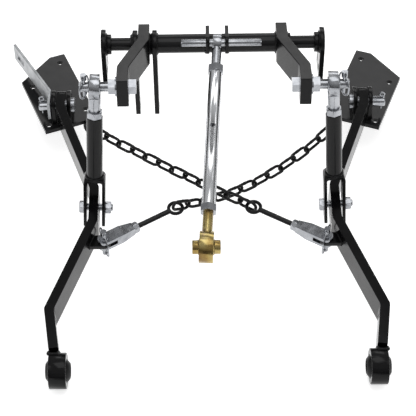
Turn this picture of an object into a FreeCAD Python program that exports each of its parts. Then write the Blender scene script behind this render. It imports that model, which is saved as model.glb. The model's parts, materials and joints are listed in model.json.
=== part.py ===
import FreeCAD, Part
import math
import os
import Sketcher

# Three point hitch, smallest size class. Millimetres, +Z up, +Y towards the tractor, X across.
# The origin is the middle of the rockshaft axis. The hitch is drawn fully lowered.

os.makedirs("parts", exist_ok=True)
doc = FreeCAD.newDocument("three_point_hitch")
sheet = doc.addObject("Spreadsheet::Sheet", "sizes")
vector = FreeCAD.Vector
ACROSS = vector(1, 0, 0)
FORWARD = vector(0, 1, 0)
UP = vector(0, 0, 1)
LEFT = -1
RIGHT = 1
SIDES = {"left": LEFT, "right": RIGHT}
nodes = []


# Driving sizes

SIZES = {
    # layout of the linkage
    "lift_arm_pitch": 6,
    "lift_arm_reach": 126,
    "stud_offset": 194,
    "link_length": 245,
    "link_lean": 8,
    "clevis_bolt_offset": 207,
    "pivot_offset": 275,
    "pivot_forward": 76,
    "pivot_below": 201,
    "ball_reach": 565,
    "ball_offset": 254,
    # rockshaft and its bearings
    "shaft_dia": 22,
    "shaft_half_length": 188,
    "tube_dia": 32,
    "tube_left_end": 139,
    "tube_right_end": 131,
    "bearing_clearance": 0.05,
    "seat_clearance": 0.05,
    "hanger_thick": 8,
    "hanger_width": 50,
    "hanger_drop": 62,
    "hanger_hole_dia": 11,
    "hanger_hole_spacing": 26,
    "hanger_hole_drop": 44,
    "collar_dia": 34,
    "collar_length": 9,
    # lift arms, flat bar on edge
    "lift_bar_thick": 19,
    "lift_bar_high": 50,
    "lift_arm_root_offset": 116,
    "lift_arm_end_offset": 148,
    "lift_arm_root_reach": 22,
    "lift_arm_bend_reach": 104,
    "lift_arm_end_reach": 148,
    "lift_arm_heel": 24,
    # lever plates for the lift actuator
    "lever_thick": 8,
    "lever_hub_radius": 23,
    "lever_length": 152,
    "lever_tip_radius": 12,
    "lever_hole_dia": 12.7,
    "outer_lever_offset": 131,
    "inner_lever_offset": 98,
    # top link lugs and pin
    "lug_thick": 6,
    "lug_gap": 26,
    "lug_centre_offset": 7,
    "lug_depth": 40,
    "lug_height": 38,
    "lug_base": 4,
    "top_pin_dia": 12,
    "top_pin_length": 134,
    "top_pin_back": 24,
    "top_pin_up": 20,
    "top_pin_shift": 14,
    "pin_play": 0.08,
    # lift studs
    "stud_dia": 16,
    "stud_head_across": 24,
    "stud_head_thick": 12,
    "stud_tip_offset": 219,
    "stud_nut_thick": 11,
    "stud_washer_dia": 32,
    "stud_washer_thick": 3,
    "stud_clip_offset": 211,
    "lynch_pin_dia": 5,
    "lynch_head_dia": 10,
    "lynch_ring_radius": 19,
    "lynch_wire": 3,
    "ring_swing": 18,
    # rod ends and lift links
    "rod_ball_dia": 30,
    "rod_ball_width": 20,
    "rod_eye_dia": 42,
    "rod_eye_width": 16,
    "rod_shank_dia": 16,
    "rod_neck_dia": 22,
    "rod_neck_end": 46,
    "rod_shank_end": 104,
    "jam_nut_across": 24,
    "jam_nut_thick": 12,
    "link_tube_dia": 27,
    "clevis_rise": 67,
    "clevis_wall": 5.5,
    "clevis_inside": 26,
    "clevis_depth": 32,
    "clevis_tail": 30,
    "clevis_shoulder": 9,
    "clevis_bolt_dia": 12,
    "clevis_head_across": 19,
    "clevis_head_thick": 8,
    "clevis_nut_thick": 10,
    # lower arms
    "arm_thick": 16,
    "arm_high": 50,
    "arm_heel": 21,
    "arm_first_bend": 24,
    "arm_second_bend_before_bolt": 24,
    "arm_third_bend_after_bolt": 46,
    "arm_fourth_bend": 462,
    "arm_fourth_bend_inset": 3,
    "arm_tip_inset": 14,
    "arm_bolt_play": 2.6,
    "arm_hole_shift": 2.3,
    "pivot_pin_dia": 19,
    "socket_dia": 58,
    "socket_width": 28,
    "lower_ball_dia": 46,
    "lower_ball_width": 39,
    "lower_ball_bore": 22.4,
    "ball_gap": 0.35,
    # mount plates with their ears
    "plate_thick": 8,
    "plate_below_pivot": 30,
    "plate_yaw": 21.4,
    "plate_length": 199,
    "plate_width": 101,
    "plate_cut_along": 51,
    "plate_cut_across": 72,
    "plate_corner_offset": 305,
    "plate_corner_forward": 39,
    "plate_hole_dia": 11,
    "ear_thick": 7,
    "ear_side_gap": 2.5,
    "ear_length": 46,
    "ear_rise": 24,
    "ear_forward_shift": 4,
    "pin_tail": 24,
    "cotter_wire": 3.2,
    # stabilisers
    "tab_reach": 313,
    "tab_thick": 8,
    "tab_radius": 12,
    "yoke_pin_inset": 87,
    "yoke_pin_dia": 10,
    "yoke_pin_length": 60,
    "yoke_prong": 6,
    "yoke_width": 22,
    "yoke_length": 56,
    "yoke_slot_end": 20,
    "yoke_side_gap": 0.5,
    "yoke_yaw": 30.5,
    "eye_bolt_dia": 9,
    "eye_nut_across": 16,
    "eye_nut_thick": 8,
    "eye_reach": 140,
    "eye_ring_radius": 12,
    "eye_wire": 6,
    "snap_ring_radius": 25,
    "snap_wire": 2.6,
    "snap_ring_swing": 12,
    "chain_wire": 5.4,
    "chain_pitch": 32,
    "chain_link_width": 22,
    "anchor_inset": 79,
    "anchor_stub": 8,
    "anchor_dia": 10,
    "chain_slack": 4.6,
    "chain_end_gap": 0.8,
    "left_chain_sag": 40,
    "right_chain_sag": 4,
    # top link
    "top_link_drop": 17,
    "top_link_swing": 3.6,
    "top_link_length": 380,
    "top_tube_dia": 22,
    "top_tube_start": 60,
    "top_tube_end": 308,
    "top_thread_dia": 16,
    "thread_grip": 64,
    "top_eye_dia": 29.6,
    "top_eye_width": 14,
    "eye_play": 0.5,
    "top_socket_dia": 50,
    "top_socket_width": 22,
    "top_ball_dia": 34,
    "top_ball_bore": 16.4,
    "top_ball_collar_dia": 22,
    "top_ball_width": 44,
    "tommy_hole_dia": 9,
    "tommy_hole_reach": 166,
    # slotted strap
    "strap_thick": 5,
    "strap_high": 36,
    "strap_straight": 22,
    "strap_out": 75,
    "strap_forward": 157,
    "strap_slot_wide": 11,
    "strap_slot_long": 26,
}


def driving(alias, amount):
    """Put one driving size in the next row of the sheet under its own name."""
    sheet_rows[0] += 1
    cell = "B%d" % sheet_rows[0]
    sheet.set("A%d" % sheet_rows[0], alias)
    sheet.set(cell, str(amount))
    sheet.setAlias(cell, alias)


sheet_rows = [0]
for alias, amount in SIZES.items():
    driving(alias, amount)
driving("link_tube_end", "=link_length - clevis_rise")
driving("clevis_end", "=link_length + clevis_tail")
doc.recompute()


def size(alias):
    """Read one driving size."""
    return float(sheet.get(alias))


def number(expression):
    """Work out an expression of driving sizes, for a first position."""
    sheet.set("D1", "=" + expression.replace("$", ""))
    sheet.recompute()
    return float(sheet.get("D1"))


def bound(expression):
    """Turn $name into a reference to the sheet."""
    return expression.replace("$", "sizes.")


# Tools for bodies and sketches

def new_body(name):
    made = doc.addObject("PartDesign::Body", name)
    made.Label = name
    return made


def new_sketch(body, plane_role, name, offset=None):
    sketch = body.newObject("Sketcher::SketchObject", name)
    plane = [item for item in body.Origin.OriginFeatures if item.Role == plane_role][0]
    sketch.AttachmentSupport = [(plane, "")]
    sketch.MapMode = "FlatFace"
    if offset is not None:
        sketch.AttachmentOffset = FreeCAD.Placement(vector(0, 0, number(offset)), FreeCAD.Rotation())
        sketch.setExpression("AttachmentOffset.Base.z", bound(offset))
    return sketch


def pin_point(sketch, geometry, end, x_text, y_text):
    """Fix one sketch point by two expressions."""
    for kind, text in (("DistanceX", x_text), ("DistanceY", y_text)):
        index = sketch.addConstraint(Sketcher.Constraint(kind, -1, 1, geometry, end, number(text)))
        sketch.setExpression("Constraints[%d]" % index, bound(text))


def draw_polyline(sketch, points, closed=True):
    """Straight lines through points given as pairs of expressions."""
    places = [vector(number(x_text), number(y_text), 0) for x_text, y_text in points]
    count = len(points) if closed else len(points) - 1
    first = sketch.GeometryCount
    for step in range(count):
        following = places[(step + 1) % len(places)]
        sketch.addGeometry(Part.LineSegment(places[step], following))
    for step in range(count):
        following = (step + 1) % count
        if closed or step + 1 < count:
            sketch.addConstraint(Sketcher.Constraint("Coincident", first + step, 2, first + following, 1))
    for step in range(count):
        pin_point(sketch, first + step, 1, *points[step])
    if not closed:
        pin_point(sketch, first + count - 1, 2, *points[-1])


def draw_circle(sketch, x_text, y_text, radius_text):
    centre = vector(number(x_text), number(y_text), 0)
    index = sketch.addGeometry(Part.Circle(centre, UP, number(radius_text)))
    pin_point(sketch, index, 3, x_text, y_text)
    radius = sketch.addConstraint(Sketcher.Constraint("Radius", index, number(radius_text)))
    sketch.setExpression("Constraints[%d]" % radius, bound(radius_text))


def draw_hexagon(sketch, across_text):
    corners = []
    for corner in range(6):
        turn = 60 * corner + 30
        corners.append(("%s / sqrt(3) * cos(%d)" % (across_text, turn),
                        "%s / sqrt(3) * sin(%d)" % (across_text, turn)))
    draw_polyline(sketch, corners)


def pad(body, sketch, length_text, midplane=True, reversed_way=False):
    feature = body.newObject("PartDesign::Pad", "pad_of_" + sketch.Name)
    feature.Profile = sketch
    feature.Midplane = midplane
    feature.Reversed = reversed_way
    feature.Length = number(length_text)
    feature.setExpression("Length", bound(length_text))
    return feature


def pocket(body, sketch, length_text, midplane=True):
    feature = body.newObject("PartDesign::Pocket", "pocket_of_" + sketch.Name)
    feature.Profile = sketch
    feature.Midplane = midplane
    feature.Length = number(length_text)
    feature.setExpression("Length", bound(length_text))
    return feature


def revolve(body, sketch):
    """Turn a sketch about its horizontal axis."""
    feature = body.newObject("PartDesign::Revolution", "turning_of_" + sketch.Name)
    feature.Profile = sketch
    feature.ReferenceAxis = (sketch, ["H_Axis"])
    feature.Angle = 360
    return feature


def sweep(body, profile, spine):
    feature = body.newObject("PartDesign::AdditivePipe", "bend_of_" + spine.Name)
    feature.Profile = profile
    feature.Spine = (spine, [])
    feature.Transition = "Right corner"
    return feature


def round_edges(body, radius_text, wanted):
    """Fillet the edges of the tip that the test picks out."""
    doc.recompute()
    tip = body.Tip
    names = []
    for index, edge in enumerate(tip.Shape.Edges):
        if wanted(edge):
            names.append("Edge%d" % (index + 1))
    feature = body.newObject("PartDesign::Fillet", "rounding_of_" + tip.Name)
    feature.Base = (tip, names)
    feature.Radius = number(radius_text)
    feature.setExpression("Radius", bound(radius_text))
    return feature


def runs_along(edge, direction):
    """True for a straight edge parallel to the direction."""
    if edge.Curve.TypeId != "Part::GeomLine":
        return False
    way = edge.tangentAt(edge.FirstParameter)
    return abs(abs(way.dot(direction)) - 1) < 1e-6


def keep(item, point=vector(0, 0, 0), turn=FreeCAD.Rotation()):
    """Place a finished piece and list it for export."""
    item.Placement = FreeCAD.Placement(point, turn)
    nodes.append(item)
    return item


def turned(name, outline):
    """A turned piece along X, from pairs of (position, radius) expressions."""
    body = new_body(name)
    sketch = new_sketch(body, "XY_Plane", name + "_section")
    draw_polyline(sketch, outline)
    revolve(body, sketch)
    return body


def hex_piece(name, across_text, thick_text, bore_text):
    """A hexagon with a bore, its axis along X and its first face at X = 0."""
    body = new_body(name)
    sketch = new_sketch(body, "YZ_Plane", name + "_hexagon")
    draw_hexagon(sketch, across_text)
    draw_circle(sketch, "0", "0", bore_text + " / 2")
    pad(body, sketch, thick_text, midplane=False)
    return body


def group(name, members):
    """Separate solids that share one node."""
    made = doc.addObject("Part::Compound", name)
    made.Label = name
    made.Links = members
    nodes.append(made)
    return made


def ball(name, dia_text, width_text, bore_text):
    """A bored ball with flat ends, its axis along X."""
    sphere = doc.addObject("Part::Sphere", name + "_sphere")
    sphere.setExpression("Radius", bound(dia_text + " / 2"))
    sphere.Placement = FreeCAD.Placement(vector(0, 0, 0), FreeCAD.Rotation(FORWARD, 90))
    length = doc.addObject("Part::Cylinder", name + "_length")
    length.setExpression("Radius", bound(dia_text))
    length.setExpression("Height", bound(width_text))
    lay_across(length, width_text)
    bore = doc.addObject("Part::Cylinder", name + "_bore")
    bore.setExpression("Radius", bound(bore_text + " / 2"))
    bore.setExpression("Height", bound(dia_text + " * 2"))
    lay_across(bore, dia_text + " * 2")
    flats = doc.addObject("Part::Common", name + "_flats")
    flats.Base = sphere
    flats.Tool = length
    made = doc.addObject("Part::Cut", name)
    made.Label = name
    made.Base = flats
    made.Tool = bore
    return made


def lay_across(cylinder, length_text, x_text="0"):
    """Lay a cylinder along X with its middle at the given position."""
    cylinder.Placement = FreeCAD.Placement(vector(0, 0, 0), FreeCAD.Rotation(FORWARD, 90))
    cylinder.setExpression(".Placement.Base.x", bound("%s - (%s) / 2" % (x_text, length_text)))


def ring_with_seat(name, dia_text, width_text, seat_text):
    """A ring along X whose bore is a spherical seat."""
    outside = doc.addObject("Part::Cylinder", name + "_outside")
    outside.setExpression("Radius", bound(dia_text + " / 2"))
    outside.setExpression("Height", bound(width_text))
    lay_across(outside, width_text)
    seat = doc.addObject("Part::Sphere", name + "_seat")
    seat.setExpression("Radius", bound(seat_text))
    seat.Placement = FreeCAD.Placement(vector(0, 0, 0), FreeCAD.Rotation(FORWARD, 90))
    return outside, seat


# Positions that follow from the driving sizes

def rearward_at(reach, drop):
    """Offset of a point on a bar that falls towards the rear by drop degrees."""
    angle = math.radians(drop)
    return vector(0, -reach * math.cos(angle), -reach * math.sin(angle))


rise_turn = FreeCAD.Rotation(ACROSS, -size("lift_arm_pitch"))
stud_point = rearward_at(size("lift_arm_reach"), -size("lift_arm_pitch"))
link_tilt = math.degrees(math.asin((size("clevis_bolt_offset") - size("stud_offset")) / size("link_length")))
pivot_point = vector(0, size("pivot_forward"), -size("pivot_below"))


def link_turn(side):
    """The lift link leans to the rear and spreads a little outwards."""
    lean = FreeCAD.Rotation(ACROSS, -size("link_lean"))
    return lean.multiply(FreeCAD.Rotation(FORWARD, -side * link_tilt))


def link_top(side):
    return stud_point + vector(side * size("stud_offset"), 0, 0)


bolt_point = link_top(RIGHT) + link_turn(RIGHT).multVec(vector(0, 0, -size("link_length")))
arm_drop = math.degrees(math.atan2(pivot_point.z - bolt_point.z, pivot_point.y - bolt_point.y))
arm_bolt_reach = math.hypot(pivot_point.y - bolt_point.y, pivot_point.z - bolt_point.z)
arm_turn = FreeCAD.Rotation(ACROSS, arm_drop)
driving("arm_bolt_reach", "=sqrt((%s)^2 + (%s)^2)" % (
    "pivot_forward + lift_arm_reach * cos(lift_arm_pitch)"
    " + sqrt(link_length^2 - (clevis_bolt_offset - stud_offset)^2) * sin(link_lean)",
    "lift_arm_reach * sin(lift_arm_pitch)"
    " - sqrt(link_length^2 - (clevis_bolt_offset - stud_offset)^2) * cos(link_lean) + pivot_below"))
doc.recompute()


def arm_place(side):
    return pivot_point + vector(side * size("pivot_offset"), 0, 0)


def on_arm(side, inset, reach, lift=0):
    """A point given in the frame of a lower arm."""
    return arm_place(side) + arm_turn.multVec(vector(-side * inset, -reach, lift))


# Rockshaft

shaft = turned("rockshaft_core", [
    ("-$shaft_half_length", "0"),
    ("$shaft_half_length", "0"),
    ("$shaft_half_length", "$shaft_dia / 2"),
    ("-$shaft_half_length", "$shaft_dia / 2"),
])
keep(shaft)

tube = turned("rockshaft_tube", [
    ("-$tube_left_end", "$shaft_dia / 2 + $seat_clearance"),
    ("$tube_right_end", "$shaft_dia / 2 + $seat_clearance"),
    ("$tube_right_end", "$tube_dia / 2"),
    ("-$tube_left_end", "$tube_dia / 2"),
])
keep(tube)


rod_balls = []
top_lugs = []
anchors = []


def hanger(side_name, side):
    """Hanger plate with a rounded top and its bearing collar welded on the inner face."""
    name = side_name + "_hanger_plate"
    body = new_body(name)
    outer = "%d * $shaft_half_length" % side
    middle = "%d * ($shaft_half_length - $hanger_thick / 2)" % side
    face = new_sketch(body, "YZ_Plane", name + "_face", middle)
    draw_polyline(face, [
        ("-$hanger_width / 2", "-$hanger_drop"),
        ("$hanger_width / 2", "-$hanger_drop"),
        ("$hanger_width / 2", "$hanger_width / 2"),
        ("-$hanger_width / 2", "$hanger_width / 2"),
    ])
    pad(body, face, "$hanger_thick")

    def top_corner(edge):
        return runs_along(edge, ACROSS) and edge.CenterOfMass.z > 0

    round_edges(body, "$hanger_width / 2 - 1", top_corner)
    bore = new_sketch(body, "YZ_Plane", name + "_holes", outer)
    draw_circle(bore, "0", "0", "$shaft_dia / 2 + $bearing_clearance")
    for way in (-1, 1):
        draw_circle(bore, "%d * $hanger_hole_spacing / 2" % way, "-$hanger_hole_drop", "$hanger_hole_dia / 2")
    pocket(body, bore, "$hanger_thick * 4")
    collar_name = side_name + "_bearing_collar"
    inner_end = "%d * ($shaft_half_length - $hanger_thick - $collar_length)" % side
    outer_end = "%d * ($shaft_half_length - $hanger_thick)" % side
    collar = turned(collar_name, [
        (inner_end, "$shaft_dia / 2 + $bearing_clearance"),
        (outer_end, "$shaft_dia / 2 + $bearing_clearance"),
        (outer_end, "$collar_dia / 2"),
        (inner_end, "$collar_dia / 2"),
    ])
    group(side_name + "_hanger", [body, collar])


def bent_bar(name, path, thick_text, high_text):
    """Flat bar on edge, bent along a path in plan that starts along Y."""
    body = new_body(name)
    spine = new_sketch(body, "XY_Plane", name + "_path")
    draw_polyline(spine, path, closed=False)
    start_x, start_y = path[0]
    profile = new_sketch(body, "XZ_Plane", name + "_bar", "-(%s)" % start_y)
    draw_polyline(profile, [
        ("%s - %s / 2" % (start_x, thick_text), "-%s / 2" % high_text),
        ("%s + %s / 2" % (start_x, thick_text), "-%s / 2" % high_text),
        ("%s + %s / 2" % (start_x, thick_text), "%s / 2" % high_text),
        ("%s - %s / 2" % (start_x, thick_text), "%s / 2" % high_text),
    ])
    sweep(body, profile, spine)
    return body


def soften_bends(body, radius_text, ends_y):
    """Round the upright edges at the bends, leaving the bar ends square."""
    def at_bend(edge):
        if not runs_along(edge, UP):
            return False
        return ends_y[0] < edge.CenterOfMass.y < ends_y[1]
    round_edges(body, radius_text, at_bend)


def lift_arm(side_name, side):
    name = side_name + "_lift_arm"
    path = [
        ("%d * $lift_arm_root_offset" % side, "$lift_arm_heel"),
        ("%d * $lift_arm_root_offset" % side, "-$lift_arm_root_reach"),
        ("%d * $lift_arm_end_offset" % side, "-$lift_arm_bend_reach"),
        ("%d * $lift_arm_end_offset" % side, "-$lift_arm_end_reach"),
    ]
    body = bent_bar(name, path, "$lift_bar_thick", "$lift_bar_high")
    soften_bends(body, "$lift_bar_thick", (-size("lift_arm_end_reach") + 1, size("lift_arm_heel") - 1))
    holes = new_sketch(body, "YZ_Plane", name + "_holes", "%d * $lift_arm_end_offset" % side)
    draw_circle(holes, "0", "0", "$tube_dia / 2 + $seat_clearance")
    draw_circle(holes, "-$lift_arm_reach", "0", "$stud_dia / 2 + $pin_play")
    pocket(body, holes, "$lift_bar_thick * 8")
    keep(body, vector(0, 0, 0), rise_turn)


def lever(name, offset_text):
    """Tapered lever plate with a round hub on the tube and a hole at its tip."""
    body = new_body(name)
    middle = "-%s" % offset_text
    face = new_sketch(body, "YZ_Plane", name + "_face", middle)
    draw_polyline(face, [
        ("-$lever_hub_radius", "0"),
        ("-$lever_tip_radius", "-$lever_length"),
        ("$lever_tip_radius", "-$lever_length"),
        ("$lever_hub_radius", "0"),
        ("$lever_hub_radius", "$lever_hub_radius"),
        ("-$lever_hub_radius", "$lever_hub_radius"),
    ])
    pad(body, face, "$lever_thick")

    def top_edge(edge):
        return runs_along(edge, ACROSS) and edge.CenterOfMass.z > 1

    def tip_edge(edge):
        return runs_along(edge, ACROSS) and edge.CenterOfMass.z < -size("lever_length") / 2

    round_edges(body, "$lever_hub_radius - 1", top_edge)
    round_edges(body, "$lever_tip_radius - 3", tip_edge)
    holes = new_sketch(body, "YZ_Plane", name + "_holes", middle)
    draw_circle(holes, "0", "0", "$tube_dia / 2 + $seat_clearance")
    draw_circle(holes, "0", "$lever_tip_radius * 1.2 - $lever_length", "$lever_hole_dia / 2")
    pocket(body, holes, "$lever_thick * 3")
    keep(body)


def top_lug(name, way):
    """Upright lug on the tube, seen by the top link pin."""
    body = new_body(name)
    middle = "$lug_centre_offset + %d * ($lug_gap + $lug_thick) / 2" % way
    face = new_sketch(body, "YZ_Plane", name + "_face", middle)
    draw_polyline(face, [
        ("-$lug_depth", "$lug_base"),
        ("0", "$lug_base"),
        ("0", "$lug_height"),
        ("-$lug_depth", "$lug_height"),
    ])
    pad(body, face, "$lug_thick")

    def rear_edge(edge):
        return runs_along(edge, ACROSS) and edge.CenterOfMass.y < -1

    round_edges(body, "$lug_height / 4", rear_edge)
    holes = new_sketch(body, "YZ_Plane", name + "_holes", middle)
    draw_circle(holes, "-$top_pin_back", "$top_pin_up", "$top_pin_dia / 2 + $pin_play")
    draw_circle(holes, "0", "0", "$tube_dia / 2 + $seat_clearance")
    pocket(body, holes, "$lug_thick * 3")
    top_lugs.append(body)


def lift_stud(side_name, side):
    """Hex bolt from the inner face of the lift arm out through the rod end."""
    name = side_name + "_lift_stud"
    inner_face = "($lift_arm_end_offset - $lift_bar_thick / 2)"
    body = new_body(name)
    head = new_sketch(body, "YZ_Plane", name + "_head", "%d * (%s - $stud_head_thick / 2)" % (side, inner_face))
    draw_hexagon(head, "$stud_head_across")
    pad(body, head, "$stud_head_thick")
    shank = new_sketch(body, "YZ_Plane", name + "_shank",
                       "%d * (%s + $stud_tip_offset) / 2" % (side, inner_face))
    draw_circle(shank, "0", "0", "$stud_dia / 2")
    pad(body, shank, "$stud_tip_offset - %s" % inner_face)
    cross = new_sketch(body, "XY_Plane", name + "_cross_hole")
    draw_circle(cross, "%d * $stud_clip_offset" % side, "0", "$lynch_pin_dia / 2 + $pin_play")
    pocket(body, cross, "$stud_dia * 2")
    keep(body, stud_point, rise_turn)


def rod_end_ball(side_name, side):
    name = side_name + "_rod_end_ball"
    made = ball(name, "$rod_ball_dia", "$rod_ball_width", "($stud_dia + 2 * $pin_play)")
    made.Placement = FreeCAD.Placement(link_top(side), FreeCAD.Rotation())
    rod_balls.append(made)


for side_name, side in SIDES.items():
    hanger(side_name, side)
    lift_arm(side_name, side)
    lift_stud(side_name, side)
    rod_end_ball(side_name, side)
lever("outer_actuator_lever", "$outer_lever_offset")
lever("inner_actuator_lever", "$inner_lever_offset")
top_lug("left_top_link_lug", LEFT)
top_lug("right_top_link_lug", RIGHT)
group("rod_end_balls", rod_balls)
group("top_link_lugs", top_lugs)

stud_nuts = []
for side_name, side in SIDES.items():
    outer_face = side * (size("lift_arm_end_offset") + size("lift_bar_thick") / 2)
    outward = FreeCAD.Rotation(UP, 0 if side == RIGHT else 180)
    washer = turned(side_name + "_stud_washer", [
        ("0", "$stud_dia / 2 + $pin_play"),
        ("$stud_washer_thick", "$stud_dia / 2 + $pin_play"),
        ("$stud_washer_thick", "$stud_washer_dia / 2"),
        ("0", "$stud_washer_dia / 2"),
    ])
    nut = hex_piece(side_name + "_stud_nut", "$stud_head_across", "$stud_nut_thick",
                    "($stud_dia + 2 * $pin_play)")
    washer_end = side * size("stud_washer_thick")
    washer.Placement = FreeCAD.Placement(stud_point + vector(outer_face, 0, 0), rise_turn.multiply(outward))
    nut.Placement = FreeCAD.Placement(
        stud_point + vector(outer_face + washer_end, 0, 0), rise_turn.multiply(outward))
    stud_nuts += [washer, nut]
group("lift_stud_nuts_and_washers", stud_nuts)

top_pin_start = "$top_pin_shift - $top_pin_length / 2"
top_pin_stop = "$top_pin_shift + $top_pin_length / 2"
top_pin = turned("top_link_pin", [
    (top_pin_start, "0"),
    (top_pin_stop, "0"),
    (top_pin_stop, "$top_pin_dia / 2 - 1"),
    (top_pin_stop + " - 2", "$top_pin_dia / 2"),
    (top_pin_start + " + 2", "$top_pin_dia / 2"),
    (top_pin_start, "$top_pin_dia / 2 - 1"),
])
top_pin_point = vector(0, -size("top_pin_back"), size("top_pin_up"))
keep(top_pin, top_pin_point)


def wire_ring(name, radius_text, wire_text):
    made = doc.addObject("Part::Torus", name)
    made.Label = name
    made.setExpression("Radius1", bound(radius_text))
    made.setExpression("Radius2", bound(wire_text + " / 2"))
    return made


# Lynch pins lock the lift studs: an upright pin with a head, and a wire ring that folds over it.
def ring_turn(side):
    """The ring stands across the stud, swung a little so that it clears the rod end."""
    return rise_turn.multiply(FreeCAD.Rotation(UP, side * size("ring_swing"))).multiply(across_ring)


def lynch_pin(side_name, side):
    name = side_name + "_lynch_pin"
    body = turned(name, [
        ("-$lynch_ring_radius + 2", "0"),
        ("$lynch_ring_radius + 5", "0"),
        ("$lynch_ring_radius + 5", "$lynch_head_dia / 2"),
        ("$lynch_ring_radius - 5", "$lynch_head_dia / 2"),
        ("$lynch_ring_radius - 5", "$lynch_pin_dia / 2"),
        ("-$lynch_ring_radius + 2", "$lynch_pin_dia / 2"),
    ])
    hole = new_sketch(body, "XZ_Plane", name + "_ring_hole")
    draw_circle(hole, "$lynch_ring_radius - 0.3", "0", "$lynch_wire / 2 + 0.8")
    pocket(body, hole, "$lynch_head_dia * 2")
    spot = stud_point + rise_turn.multVec(vector(side * size("stud_clip_offset"), 0, 0))
    swing = FreeCAD.Rotation(UP, side * size("ring_swing"))
    stand = rise_turn.multiply(swing).multiply(FreeCAD.Rotation(FORWARD, -90))
    body.Placement = FreeCAD.Placement(spot, stand)
    lynch_pins.append(body)
    ring = wire_ring(side_name + "_lynch_ring", "$lynch_ring_radius", "$lynch_wire")
    keep(ring, spot, ring_turn(side))


across_ring = FreeCAD.Rotation(FORWARD, 90)
lynch_pins = []
for side_name, side in SIDES.items():
    lynch_pin(side_name, side)
group("lynch_pins", lynch_pins)


# Lift links, drawn in a frame with the eye centre at the origin and the bolt straight below

def rod_end(side_name, side):
    name = side_name + "_rod_end"
    body = new_body(name)
    eye = new_sketch(body, "YZ_Plane", name + "_eye")
    draw_circle(eye, "0", "0", "$rod_eye_dia / 2")
    pad(body, eye, "$rod_eye_width")
    neck = new_sketch(body, "XY_Plane", name + "_neck", "-($rod_eye_dia + $rod_neck_end) / 2 + $rod_eye_dia / 3")
    draw_circle(neck, "0", "0", "$rod_neck_dia / 2 - 1")
    pad(body, neck, "$rod_neck_end - $rod_eye_dia / 3")
    shank = new_sketch(body, "XY_Plane", name + "_shank", "-($rod_neck_end + $rod_shank_end) / 2 + 2")
    draw_circle(shank, "0", "0", "$rod_shank_dia / 2")
    pad(body, shank, "$rod_shank_end - $rod_neck_end + 4")
    seat = new_sketch(body, "XY_Plane", name + "_seat")
    half = "$rod_ball_dia / 2 + $ball_gap"
    draw_seat(seat, half)
    feature = body.newObject("PartDesign::Groove", name + "_seat_groove")
    feature.Profile = seat
    feature.ReferenceAxis = (seat, ["H_Axis"])
    feature.Angle = 360
    keep(body, link_top(side), link_turn(side))


def draw_seat(sketch, radius_text):
    """Half disc above the horizontal axis, whose turning is a sphere."""
    radius = number(radius_text)
    circle = Part.Circle(vector(0, 0, 0), UP, radius)
    arc = sketch.addGeometry(Part.ArcOfCircle(circle, 0, math.pi))
    line = sketch.addGeometry(Part.LineSegment(vector(-radius, 0, 0), vector(radius, 0, 0)))
    sketch.addConstraint(Sketcher.Constraint("Coincident", arc, 3, -1, 1))
    sketch.addConstraint(Sketcher.Constraint("Coincident", arc, 1, line, 2))
    sketch.addConstraint(Sketcher.Constraint("Coincident", arc, 2, line, 1))
    sketch.addConstraint(Sketcher.Constraint("PointOnObject", line, 1, -1))
    index = sketch.addConstraint(Sketcher.Constraint("Radius", arc, radius))
    sketch.setExpression("Constraints[%d]" % index, bound(radius_text))


down_turn = FreeCAD.Rotation(FORWARD, 90)


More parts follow.
